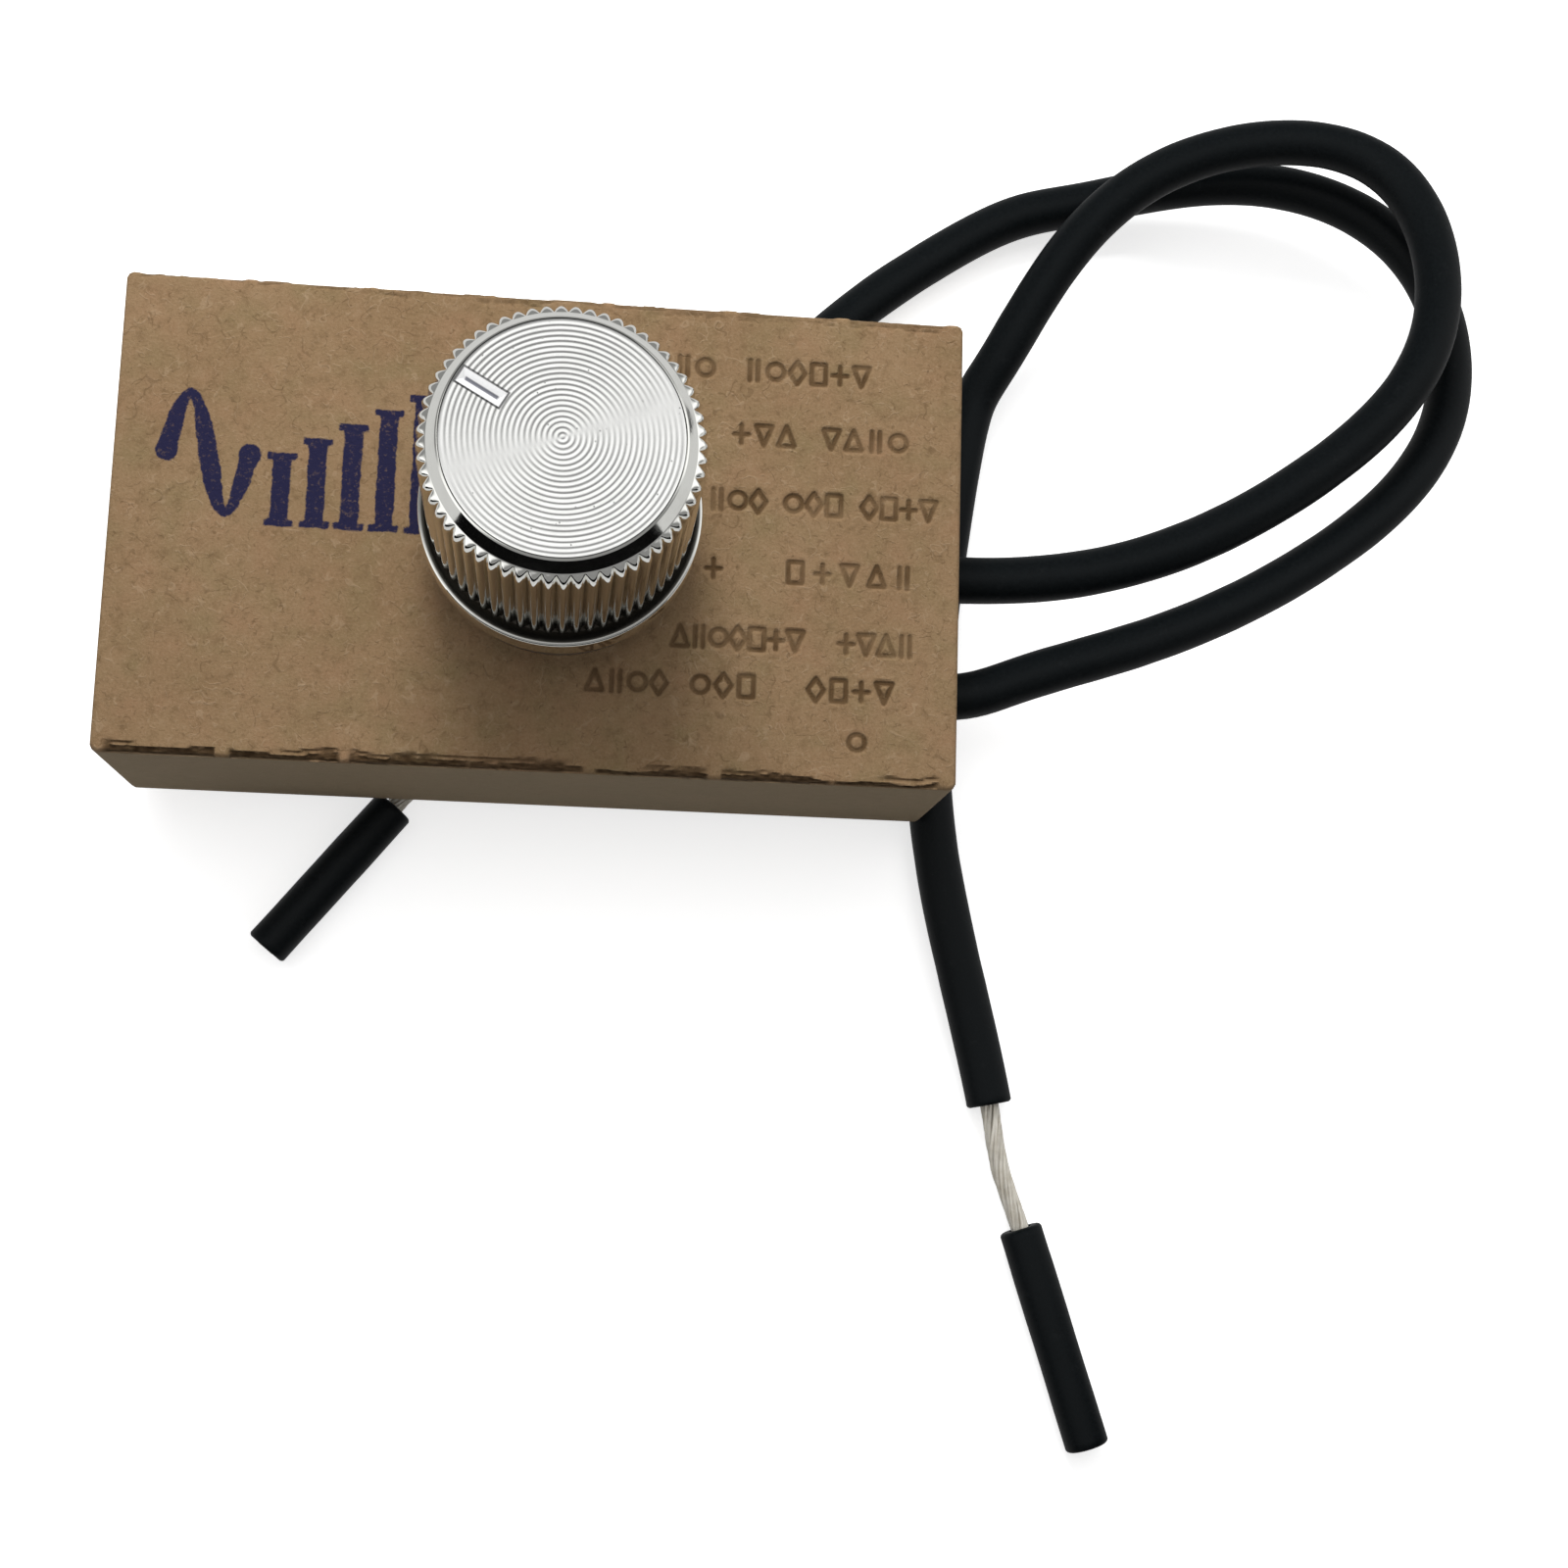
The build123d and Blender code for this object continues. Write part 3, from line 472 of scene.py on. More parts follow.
def fibre_board():
    """Uncoated brown board: blotches, short curved fibres, flecks, walls painted greyer for their cooler light,
    pressed signs and torn score painted dark as shade, and the stamp.
    """
    sh = Shader("fibre_board")
    # The folded tray carries its own unfolded coordinates, so that fibres run on over the folds
    flat = sh.math("SUBTRACT", 1.0, sh.attribute("folded"))
    own = sh.node("ShaderNodeVectorMath", {0: sh.mm, "Scale": flat}, operation="SCALE")
    place = sh.vector("ADD", sh.attribute("sheet", "Vector"), own)
    wall = sh.attribute("wall")
    cloud = sh.noise(0.13, 3, 0.55, place)
    tint = sh.noise(0.42, 2, 0.5, place, shift=5.0)
    blotch = sh.noise(1.5, 3, 0.6, place)
    grain = sh.noise(6.5, 4, 0.7, place)
    base = sh.mix(sh.spread(cloud, 0.35, 0.65), (0.245, 0.157, 0.083), (0.275, 0.180, 0.098))
    base = sh.mix(sh.spread(tint, 0.50, 0.72, 0, 0.60), base, (0.215, 0.158, 0.078))
    base = sh.mix(sh.spread(tint, 0.46, 0.28, 0, 0.50), base, (0.290, 0.172, 0.096))
    base = sh.mix(sh.spread(blotch, 0.52, 0.70, 0, 0.62), base, (0.175, 0.110, 0.055))
    base = sh.mix(sh.spread(blotch, 0.44, 0.30, 0, 0.35), base, (0.330, 0.228, 0.135))
    base = sh.mix(sh.spread(grain, 0.52, 0.74, 0, 0.55), base, (0.365, 0.255, 0.155))
    base = sh.mix(sh.spread(grain, 0.46, 0.26, 0, 0.55), base, (0.145, 0.088, 0.042))
    relief = grain
    for length, shift in ((1.3, 2.0), (0.9, 13.0)):
        pale = sh.fibres(place, length, 0.026, 0.05, shift)
        base = sh.mix(sh.math("MULTIPLY", pale, 0.26), base, (0.420, 0.305, 0.195))
        relief = sh.math("ADD", relief, sh.math("MULTIPLY", pale, 0.25))
    for length, shift in ((1.2, 23.0), (0.7, 37.0)):
        dark = sh.fibres(place, length, 0.024, 0.04, shift)
        base = sh.mix(sh.math("MULTIPLY", dark, 0.34), base, (0.095, 0.054, 0.024))
        relief = sh.math("SUBTRACT", relief, sh.math("MULTIPLY", dark, 0.2))
    fleck = sh.spread(sh.cells(0.9, place), 0.065, 0.030)
    base = sh.mix(sh.math("MULTIPLY", fleck, 0.45), base, (0.060, 0.032, 0.014))
    # The walls are smoother, and painted light tints them greyer and paler than the face, standing in for the cooler
    # light that falls on them
    base = sh.mix(sh.math("MULTIPLY", wall, 0.65), base, (0.360, 0.290, 0.195))
    # Painted shade: the pressed signs are coloured dark brown in their hollows, patchily, for the shade that falls in
    # them
    hollow = sh.math("ADD", sh.attribute("pressed"), sh.math("MULTIPLY", sh.math("SUBTRACT", grain, 0.5), 0.20))
    hollow = sh.spread(hollow, 0.40, 0.60)
    patchy = sh.spread(sh.noise(0.45, 2, 0.5, place, shift=71.0), 0.35, 0.60, 0.55, 0.95)
    pressed = sh.math("MULTIPLY", hollow, patchy)
    base = sh.mix(pressed, base, (0.088, 0.050, 0.022))
    # Ink soaks in between the fibres, so its edge is uneven and it misses a few fibres
    edge = sh.math("ADD", sh.attribute("ink"), sh.math("MULTIPLY", sh.math("SUBTRACT", grain, 0.5), 0.45))
    cover = sh.spread(edge, 0.44, 0.58)
    gaps = sh.spread(sh.noise(4.5, 4, 0.7, place, shift=51.0), 0.34, 0.44, 0.70, 0.98)
    base = sh.mix(sh.math("MULTIPLY", cover, gaps), base, (0.013, 0.014, 0.048))
    # Painted shade: the torn score is coloured near black in streaks, for the shade in its cracks
    streak = sh.noise(3.0, 3, 0.6, place, stretch=(3.0, 0.5, 1.0), shift=61.0)
    torn = sh.math("MULTIPLY", sh.attribute("torn"), sh.spread(streak, 0.30, 0.50, 0.70, 1.0))
    base = sh.mix(torn, base, (0.040, 0.021, 0.008))
    calm = sh.math("SUBTRACT", 1.0, sh.math("MULTIPLY", wall, 0.6))
    normal = sh.bump(sh.math("MULTIPLY", relief, calm), 0.045)
    normal = sh.bump(sh.noise(24.0, 2, 0.6, place), 0.006, normal)
    normal = sh.bump(pressed, -0.07, normal)
    return sh.done(Base_Color=base, Roughness=0.88, Normal=normal, Specular_IOR_Level=0.2)


def metal(name, colour, rough, streak=(1, 1, 1), streak_depth=0.002, dirt=0.15):
    """Metal with directional fine lines, faint clouding and handling marks."""
    sh = Shader(name)
    lines = sh.noise(6.0, 3, 0.6, stretch=streak)
    cloud = sh.noise(0.35, 3, 0.6)
    dull = tuple(channel * 0.72 for channel in colour)
    base = sh.mix(sh.spread(cloud, 0.4, 0.7, 0, dirt * 3), colour, dull)
    roughness = sh.spread(sh.math("ADD", lines, sh.math("MULTIPLY", cloud, 0.5)), 0.5, 1.0, rough, rough + dirt)
    normal = sh.bump(lines, streak_depth)
    return sh.done(Base_Color=base, Metallic=1.0, Roughness=roughness, Normal=normal)


def knob_chrome():
    """Metallised plastic: bright, with a faint orange-peel and a few dull smears, and painted shade in the flange
    groove and between the teeth.
    """
    sh = Shader("knob_chrome")
    smear = sh.noise(0.5, 4, 0.65)
    base = sh.mix(sh.spread(smear, 0.5, 0.75, 0, 0.5), (0.84, 0.84, 0.80), (0.72, 0.71, 0.67))
    # Painted shade: the groove between flange and knurl is coloured near black and made rougher, for the shade in it
    radius = sh.radius()
    low = sh.spread(sh.split(sh.mm, "Z"), FLANGE_HIGH + 1.1, FLANGE_HIGH + 0.2)
    groove_shade = sh.math("MULTIPLY", low, sh.spread(radius, 7.38, 7.24))
    base = sh.mix(sh.math("MULTIPLY", groove_shade, 0.92), base, (0.030, 0.026, 0.020))
    # Painted shade: the knurl is coloured darker between the teeth, fading out just above its top, for the shade in
    # the roots
    between = sh.math("MULTIPLY", sh.spread(radius, KNURL_TIP - 0.08, KNURL_ROOT), sh.spread(sh.split(sh.mm, "Z"), KNURL_HIGH + 0.3, KNURL_HIGH - 0.4))
    base = sh.mix(sh.math("MULTIPLY", between, 0.55), base, (0.24, 0.22, 0.19))
    roughness = sh.math("ADD", sh.spread(smear, 0.45, 0.8, 0.07, 0.17), sh.math("MULTIPLY", groove_shade, 0.3))
    normal = sh.bump(sh.noise(1.6, 2, 0.5), 0.004)
    return sh.done(Base_Color=base, Metallic=1.0, Roughness=roughness, Normal=normal)


def knob_disc():
    """Spun disc: fine turning lines between the modelled grooves, small nicks, and painted reflection and painted
    shade in the pointer's recess.
    """
    sh = Shader("knob_disc")
    x, y = sh.split(sh.mm, "X"), sh.split(sh.mm, "Y")
    radius = sh.radius()
    lines = sh.node("ShaderNodeTexNoise", {"W": radius, "Scale": 22.0, "Detail": 3.0}, noise_dimensions="1D")
    nick = sh.spread(sh.cells(1.7), 0.07, 0.03)
    cloud = sh.noise(0.8, 3, 0.6)
    base = sh.mix(sh.spread(cloud, 0.4, 0.7, 0, 0.4), (0.86, 0.86, 0.84), (0.74, 0.74, 0.72))
    base = sh.mix(sh.math("MULTIPLY", nick, 0.6), base, (0.30, 0.29, 0.27))
    # Painted light in the pointer's recess: a dark outline as painted shade at its edges, the recess painted near
    # white and less metallic as a painted reflection of the bright lights in its sides, and a dark line along its
    # bottom as a painted reflection of the dark
    turn = math.radians(POINTER_DEG)
    out = sh.math("ADD", sh.math("MULTIPLY", x, math.cos(turn)), sh.math("MULTIPLY", y, math.sin(turn)))
    across = sh.math("SUBTRACT", sh.math("MULTIPLY", y, math.cos(turn)), sh.math("MULTIPLY", x, math.sin(turn)))
    half_width = POINTER_WIDTH / 2
    middle, half = (POINTER_INNER + POINTER_OUTER) / 2, (POINTER_OUTER - POINTER_INNER) / 2
    past_end = sh.math("SUBTRACT", sh.math("ABSOLUTE", sh.math("SUBTRACT", out, middle)), half)
    past_side = sh.math("SUBTRACT", sh.math("ABSOLUTE", across), half_width)
    edge = sh.math("MAXIMUM", past_end, past_side)
    inside = sh.spread(edge, -0.03, -0.08)
    outline = sh.spread(sh.math("ABSOLUTE", edge), 0.075, 0.03)
    bottom = sh.math("MULTIPLY", sh.spread(past_side, 0.12 - half_width, 0.07 - half_width), inside)
    bottom = sh.math("MULTIPLY", bottom, sh.spread(past_end, -0.28, -0.38))
    base = sh.mix(inside, base, (0.95, 0.95, 0.95))
    base = sh.mix(sh.math("MULTIPLY", outline, 0.85), base, (0.055, 0.055, 0.060))
    base = sh.mix(sh.math("MULTIPLY", bottom, 0.85), base, (0.070, 0.072, 0.110))
    roughness = sh.math("ADD", sh.spread(lines, 0.3, 0.7, 0.14, 0.26), sh.math("MULTIPLY", inside, 0.25))
    quiet = sh.math("MULTIPLY", lines, sh.math("SUBTRACT", 1.0, inside))
    normal = sh.bump(quiet, 0.004, sh.bump(nick, -0.02))
    metallic = sh.math("SUBTRACT", 1.0, sh.math("MULTIPLY", inside, 0.75))
    return sh.done(Base_Color=base, Metallic=metallic, Roughness=roughness, Normal=normal)


def plastic(name, colour, rough, grain_scale=8.0, grain_depth=0.006, coat=0.0):
    """Moulded plastic with a fine texture and slight tone drift."""
    sh = Shader(name)
    grain = sh.noise(grain_scale, 3, 0.6)
    cloud = sh.noise(0.4, 3, 0.5)
    shade = tuple(channel * 0.8 for channel in colour)
    base = sh.mix(sh.spread(cloud, 0.35, 0.65), shade, colour)
    roughness = sh.spread(grain, 0.3, 0.7, rough - 0.06, rough + 0.06)
    return sh.done(Base_Color=base, Roughness=roughness, Normal=sh.bump(grain, grain_depth), Coat_Weight=coat)


def black_pvc():
    """Matte extruded insulation: faint die lines, small scuffs and dust."""
    sh = Shader("black_pvc")
    grain = sh.noise(5.0, 4, 0.65)
    scuff = sh.spread(sh.noise(0.9, 5, 0.7), 0.60, 0.72)
    dust = sh.spread(sh.cells(2.1), 0.06, 0.03)
    base = sh.mix(sh.spread(grain, 0.3, 0.7), (0.0022, 0.0032, 0.0038), (0.0045, 0.0060, 0.0068))
    base = sh.mix(sh.math("MULTIPLY", scuff, 0.30), base, (0.013, 0.015, 0.016))
    base = sh.mix(sh.math("MULTIPLY", dust, 0.20), base, (0.06, 0.06, 0.06))
    roughness = sh.spread(grain, 0.3, 0.7, 0.42, 0.56)
    normal = sh.bump(grain, 0.010, sh.bump(scuff, 0.008))
    return sh.done(Base_Color=base, Roughness=roughness, Normal=normal, Specular_IOR_Level=0.10)


def tinned_strands():
    """Tinned copper strands, pale with copper showing faintly and solder-dull patches."""
    sh = Shader("tinned_strands")
    cloud = sh.noise(1.4, 4, 0.6)
    fine = sh.noise(11.0, 3, 0.6)
    base = sh.mix(sh.spread(cloud, 0.4, 0.65), (0.66, 0.63, 0.56), (0.54, 0.50, 0.42))
    base = sh.mix(sh.spread(fine, 0.62, 0.8, 0, 0.25), base, (0.55, 0.40, 0.28))
    roughness = sh.spread(fine, 0.3, 0.7, 0.36, 0.52)
    return sh.done(Base_Color=base, Metallic=0.35, Roughness=roughness, Normal=sh.bump(fine, 0.006))


def banded(name, body, bands, axis_origin, length):
    """Axial part with painted rings across X, as on a resistor or a diac."""
    sh = Shader(name)
    along = sh.math("SUBTRACT", sh.split(sh.mm, "X"), axis_origin)
    mottle = sh.noise(2.5, 3, 0.6)
    base = sh.mix(sh.spread(mottle, 0.35, 0.65), tuple(channel * 0.82 for channel in body), body)
    for place, width, colour in bands:
        gap = sh.math("ABSOLUTE", sh.math("SUBTRACT", along, place * length))
        base = sh.mix(sh.spread(gap, width / 2 + 0.04, width / 2 - 0.04), base, colour)
    return sh.done(Base_Color=base, Roughness=0.32, Normal=sh.bump(mottle, 0.012), Coat_Weight=0.35)


def laminate():
    """Phenolic circuit board with faint weave and copper tracks under a thin mask on its back."""
    sh = Shader("laminate")
    weave = sh.noise(3.0, 3, 0.6, stretch=(1.0, 4.0, 1.0))
    base = sh.mix(sh.spread(weave, 0.35, 0.65), (0.30, 0.185, 0.075), (0.40, 0.265, 0.120))
    track = sh.node(
        "ShaderNodeTexVoronoi", {"Vector": sh.mm, "Scale": 0.20}, feature="F1", distance="MANHATTAN"
    )
    back = sh.math("LESS_THAN", sh.split(sh.mm, "Z"), -9.95)
    lined = sh.math("MULTIPLY", sh.spread(track, 0.62, 0.66, 1, 0), back)
    base = sh.mix(lined, base, (0.42, 0.21, 0.075))
    normal = sh.bump(sh.math("ADD", weave, sh.math("MULTIPLY", lined, 2)), 0.012)
    return sh.done(Base_Color=base, Roughness=0.48, Normal=normal)


def enamelled_copper():
    """Copper wire under clear enamel."""
    sh = Shader("enamelled_copper")
    cloud = sh.noise(1.2, 3, 0.6)
    base = sh.mix(sh.spread(cloud, 0.4, 0.65), (0.62, 0.24, 0.08), (0.48, 0.16, 0.05))
    normal = sh.bump(sh.noise(7.0, 3, 0.6), 0.006)
    return sh.done(Base_Color=base, Metallic=0.85, Roughness=0.24, Normal=normal, Coat_Weight=0.6)


FINISHES = {
    "fibre_board": fibre_board,
    "plated_brass": lambda: metal("plated_brass", (0.66, 0.62, 0.54), 0.22, (6, 6, 1)),
    "spring_steel": lambda: metal("spring_steel", (0.50, 0.50, 0.51), 0.28, (1, 5, 5)),
    "zinc_steel": lambda: metal("zinc_steel", (0.60, 0.60, 0.58), 0.32, (5, 5, 1)),
    "phenolic": lambda: plastic("phenolic", (0.26, 0.12, 0.045), 0.50, 4.0, 0.010),
    "carbon_film": lambda: plastic("carbon_film", (0.016, 0.016, 0.017), 0.62, 14.0, 0.004),
    "tinned_copper": lambda: metal("tinned_copper", (0.70, 0.69, 0.66), 0.26, (1, 4, 1)),
    "black_moulding": lambda: plastic("black_moulding", (0.020, 0.020, 0.022), 0.52, 9.0, 0.010),
    "white_moulding": lambda: plastic("white_moulding", (0.74, 0.71, 0.63), 0.44, 7.0, 0.006),
    "laminate": laminate,
    "solder": lambda: metal("solder", (0.72, 0.72, 0.71), 0.18, (1, 1, 1), 0.004),
    "aluminium_sheet": lambda: metal("aluminium_sheet", (0.66, 0.67, 0.68), 0.30, (8, 1, 1), 0.003),
    "capacitor_case": lambda: plastic("capacitor_case", (0.45, 0.045, 0.022), 0.30, 6.0, 0.006, 0.3),
    "resistor_body": lambda: banded(
        "resistor_body",
        (0.62, 0.44, 0.24),
        ((0.20, 0.5, (0.30, 0.09, 0.02)), (0.38, 0.5, (0.02, 0.02, 0.02)), (0.56, 0.5, (0.65, 0.16, 0.02)),
         (0.80, 0.5, (0.50, 0.34, 0.07))),
        box_mm("resistors")[0][0],
        6.3,
    ),
    "diac_body": lambda: banded(
        "diac_body", (0.06, 0.13, 0.36), ((0.22, 0.45, (0.015, 0.015, 0.02)),), box_mm("diac")[0][0], 4.0
    ),
    "ferrite": lambda: plastic("ferrite", (0.050, 0.050, 0.054), 0.46, 5.0, 0.014),
    "enamelled_copper": enamelled_copper,
    "contact_brass": lambda: metal("contact_brass", (0.74, 0.54, 0.22), 0.24, (1, 6, 6)),
    "black_pvc": black_pvc,
    "tinned_strands": tinned_strands,
    "knob_chrome": knob_chrome,
    "knob_disc": knob_disc,
}
made_materials = {}


def material_for(slot):
    """The material of a slot, made once."""
    if slot not in made_materials:
        made_materials[slot] = FINISHES[slot]()
    return made_materials[slot]


def finish_cad_nodes():
    """Every CAD node takes the material of its slot."""
    for node, piece in NODES.items():
        piece.data.materials.clear()
        piece.data.materials.append(material_for(SLOT_OF[node]))


# The folded box -----------------------------------------------------------------------------------------------

FACE_PITCH = 0.13
FOLD = 0.25
CORNER = 0.4
ARC_STEPS = 6
WALL_LEVELS = (0.4, 0.55, 0.75, 1.0, 1.5, 2.5, 3.8, 5.3, 6.8, 8.3, 10.0)
INNER_RADIUS = 0.1
SCORE_PERIOD = 6.5
SCORE_BRIDGE = 0.55
SCORE_FIRST_BRIDGE = -17.3
SCORE_MIDDLE = -0.02
SCORE_DEPTH = 0.22
PRESS_DEPTH = 0.10
FAR = 99.0


def around(core_low, core_high, points, radius):
    """Points of a rounded rectangle, one for each point of the square outline given."""
    core = np.clip(points, core_low, core_high)
    out = points - core
    out /= np.linalg.norm(out, axis=1)[:, None]
    return core + out * radius


def along_noise(x, cell, seed):
    """Noise along the fold only."""
    return value_noise(x, np.zeros_like(x), cell, seed)


def score_at(x, inward, seed):
    """How torn the scored fold is (0 to 1), by place along it and by distance inward from the fold's middle."""
    phase = (x - SCORE_FIRST_BRIDGE) / SCORE_PERIOD
    from_bridge = np.abs(phase - np.round(phase)) * SCORE_PERIOD + 0.4 * along_noise(x, 0.9, seed)
    in_cut = smooth_step(SCORE_BRIDGE / 2 - 0.15, SCORE_BRIDGE / 2 + 0.15, from_bridge)
    in_run = smooth_step(0.5, 1.0, x - TRAY_LOW[0]) * smooth_step(0.7, 1.3, TRAY_HIGH[0] - x)
    ragged = 0.05 * value_noise(x, inward * 1.5, 0.24, seed + 1)
    middle = SCORE_MIDDLE + 0.12 * along_noise(x, 1.5, seed + 2)
    half = 0.18 + 0.12 * along_noise(x, 2.2, seed + 3)
    main = smooth_step(half + 0.09, half - 0.03, np.abs(inward - middle) + ragged)
    doubled = smooth_step(0.0, 0.4, along_noise(x, 3.3, seed + 4))
    second = 0.75 * doubled * smooth_step(0.14, 0.04, np.abs(inward - middle - 0.42) + ragged)
    strength = 0.85 + 0.15 * value_noise(x, inward * 2, 0.3, seed + 5)
    return np.maximum(main, second) * in_cut * in_run * strength


def tray_piece():
    """The folded tray as one closed skin: fine face, rounded folds, four walls, rim and inside."""
    low, high = TRAY_LOW[:2], TRAY_HIGH[:2]
    depth = -TRAY_LOW[2]
    count = np.round((high - low - 2 * FOLD) / FACE_PITCH).astype(int)
    xs = np.linspace(low[0] + FOLD, high[0] - FOLD, count[0] + 1)
    ys = np.linspace(low[1] + FOLD, high[1] - FOLD, count[1] + 1)
    grid_x, grid_y = np.meshgrid(xs, ys, indexing="ij")
    index = np.arange(grid_x.size).reshape(grid_x.shape)
    border = np.concatenate([index[:-1, 0], index[-1, :-1], index[:0:-1, -1], index[0, :0:-1]])
    flat = np.stack([grid_x.ravel(), grid_y.ravel()], axis=1)
    square = flat[border].copy()
    core_low, core_high = low + CORNER, high - CORNER
    flat[border] = around(core_low, core_high, square, CORNER - FOLD)
    # Which way each border point's wall faces, and how far its rows run on from the face along the sheet
    tiny = 1e-6
    facing = np.zeros_like(square)
    facing[square[:, 0] < xs[0] + tiny] = (-1, 0)
    facing[square[:, 0] > xs[-1] - tiny] = (1, 0)
    facing[square[:, 1] < ys[0] + tiny] = (0, -1)
    facing[square[:, 1] > ys[-1] - tiny] = (0, 1)
    turns = np.linspace(0, math.pi / 2, ARC_STEPS + 1)[1:]
    levels = [(FOLD * math.sin(a), -FOLD * (1 - math.cos(a)), FOLD * a) for a in turns]
    levels += [(FOLD, -z, FOLD * math.pi / 2 + z - FOLD) for z in (*WALL_LEVELS, depth)]
    half_arc = FOLD * math.pi / 4
    vertices = [np.column_stack([flat, np.zeros(len(flat))])]
    sheet = [vertices[0]]
    inward = [np.stack([flat[:, 1] - ys[0] + half_arc, ys[-1] - flat[:, 1] + half_arc], axis=1)]
    for out, level, run in levels:
        ring = around(core_low, core_high, square, CORNER - FOLD + out)
        vertices.append(np.column_stack([ring, np.full(len(ring), level)]))
        sheet.append(np.column_stack([square + facing * run, np.zeros(len(ring))]))
        south = np.where(facing[:, 1] < 0, half_arc - run, FAR)
        north = np.where(facing[:, 1] > 0, half_arc - run, FAR)
        inward.append(np.stack([south, north], axis=1))
    inner_low = low + TRAY_THICK + INNER_RADIUS
    inner_high = high - TRAY_THICK - INNER_RADIUS
    inner = around(inner_low, inner_high, square, INNER_RADIUS)
    for level in (-depth, -TRAY_THICK):
        vertices.append(np.column_stack([inner, np.full(len(inner), level)]))
        sheet.append(vertices[-1] * (1, 1, 0))
        inward.append(np.full((len(inner), 2), FAR))
    points = np.concatenate(vertices)
    faces = [
        (index[i, j], index[i + 1, j], index[i + 1, j + 1], index[i, j + 1])
        for i in range(count[0])
        for j in range(count[1])
    ]
    size = len(border)
    rings = [border] + [len(flat) + k * size + np.arange(size) for k in range(len(levels) + 2)]
    for upper, lower in zip(rings, rings[1:]):
        faces += zip(upper, lower, np.roll(lower, -1), np.roll(upper, -1))
    faces.append(tuple(rings[-1]))
    marks = shape_face(points, np.concatenate(inward), len(flat))
    marks["sheet"] = np.concatenate(sheet)
    marks["folded"] = np.ones(len(points))
    marks["wall"] = smooth_step(-0.15, -0.6, points[:, 2])
    piece = add_object("board_tray", points, [tuple(int(v) for v in face) for face in faces], 50)
    for name, values in marks.items():
        set_attribute(piece, name, values)
    holes = [disc_cutter(PANEL_HOLE, (0, 0, 0), (0, 0, 1), 96)]
    for lead in ("lead_a_insulation", "lead_b_insulation"):
        holes.append(disc_cutter(LEAD_HOLE, lead_exit(lead), (1, 0, 0), 48))
    cut(piece, holes)
    return finish_piece(piece, "base", "fibre_board", "front_tray")


def shape_face(points, inward, face_count):
    """Press the signs and tear the score into the skin, and return the marks that the material reads."""
    total = len(points)
    pressed, ink, torn = np.zeros(total), np.zeros(total), np.zeros(total)
    on_face = slice(0, face_count)
    fx, fy = points[on_face, 0].copy(), points[on_face, 1].copy()
    to_sign = stroke_distance(fx, fy, pressed_signs()) - SIGN_STROKE
    patchy = 0.78 + 0.22 * value_noise(fx, fy, 2.2, 5)
    hollow = smooth_step(0.10, -0.06, to_sign) * patchy
    pressed[on_face] = np.clip(0.5 - to_sign / 0.5, 0, 1)
    raised = np.exp(-(((to_sign - 0.17) / 0.08) ** 2)) * patchy
    to_ink = np.minimum(wave_distance(fx, fy), bars_distance(fx, fy)) + 0.05 * value_noise(fx, fy, 0.35, 6)
    ink[on_face] = np.clip(0.5 - to_ink / 0.5, 0, 1)
    for side, seed, way, share in ((0, 11, 1.0, 1.0), (1, 31, -1.0, 0.55)):
        near = np.abs(inward[:, side]) < 1.5
        side_torn = share * score_at(points[near, 0], inward[near, side], seed)
        torn[near] = np.maximum(torn[near], side_torn)
        points[near] += np.outer(side_torn * SCORE_DEPTH, (0, 0.5 * way, -0.85))
    swell = 0.03 * value_noise(fx, fy, 7.0, 8) + 0.006 * value_noise(fx, fy, 0.55, 9) - 0.036
    inset = np.minimum.reduce([fx - TRAY_LOW[0], TRAY_HIGH[0] - fx, fy - TRAY_LOW[1], TRAY_HIGH[1] - fy])
    points[on_face, 2] += (swell + 0.03 * raised) * smooth_step(0.4, 2.0, inset) - PRESS_DEPTH * hollow
    return {"pressed": pressed, "ink": ink, "torn": torn}


def lead_exit(insulation):
    """Where a lead crosses the wall: the middle of the insulation's first ring, moved out to the wall."""
    places, _ = node_mesh(insulation)
    first = places[np.abs(places[:, 0] - LEAD_START) < 0.01]
    first = first[first[:, 2] > LEAD_BELOW]
    middle = (first.min(axis=0) + first.max(axis=0)) / 2
    return TRAY_HIGH[0], middle[1], middle[2]


def disc_cutter(radius, centre, axis, count):
    """Round cutter centred on a point."""
    half = 1.5
    cutter = lathe("cutter", [(0, -half), (radius, -half), (radius, half), (0, half)], count)
    turn = Vector((0, 0, 1)).rotation_difference(Vector(axis)).to_matrix().to_4x4()
    cutter.data.transform(Matrix.Translation(Vector(centre) * MM) @ turn)
    return cutter


# The knob -----------------------------------------------------------------------------------------------------

KNURL_TEETH = 60
KNURL_TIP = 7.0
KNURL_ROOT = 6.64
TOOTH_SAMPLES = 12
FLANGE_HIGH = 4.6
KNURL_HIGH = 14.8
SHOULDER_RADIUS = 6.47
SHOULDER_HIGH = 15.6
# Fullness of the teeth, how far their roots draw in and the level above the knurl, row by row over the shoulder
BEAD_ROWS = (
    (1.00, 0.00, -0.45),
    (1.00, 0.00, 0.10),
    (0.97, 0.03, 0.30),
    (0.88, 0.07, 0.50),
    (0.68, 0.10, 0.63),
    (0.38, 0.12, 0.72),
    (0.12, 0.13, 0.76),
    (0.00, 0.14, 0.78),
)


def knurl_radius(amount):
    """Radius over the angles of a row of round-topped knurl teeth, from 0 at the root to 1 at full height."""
    phase = (np.arange(KNURL_TEETH * TOOTH_SAMPLES) % TOOTH_SAMPLES) / TOOTH_SAMPLES
    tooth = np.sin(math.pi * phase) ** 0.85
    return KNURL_ROOT + (KNURL_TIP - KNURL_ROOT) * tooth * amount


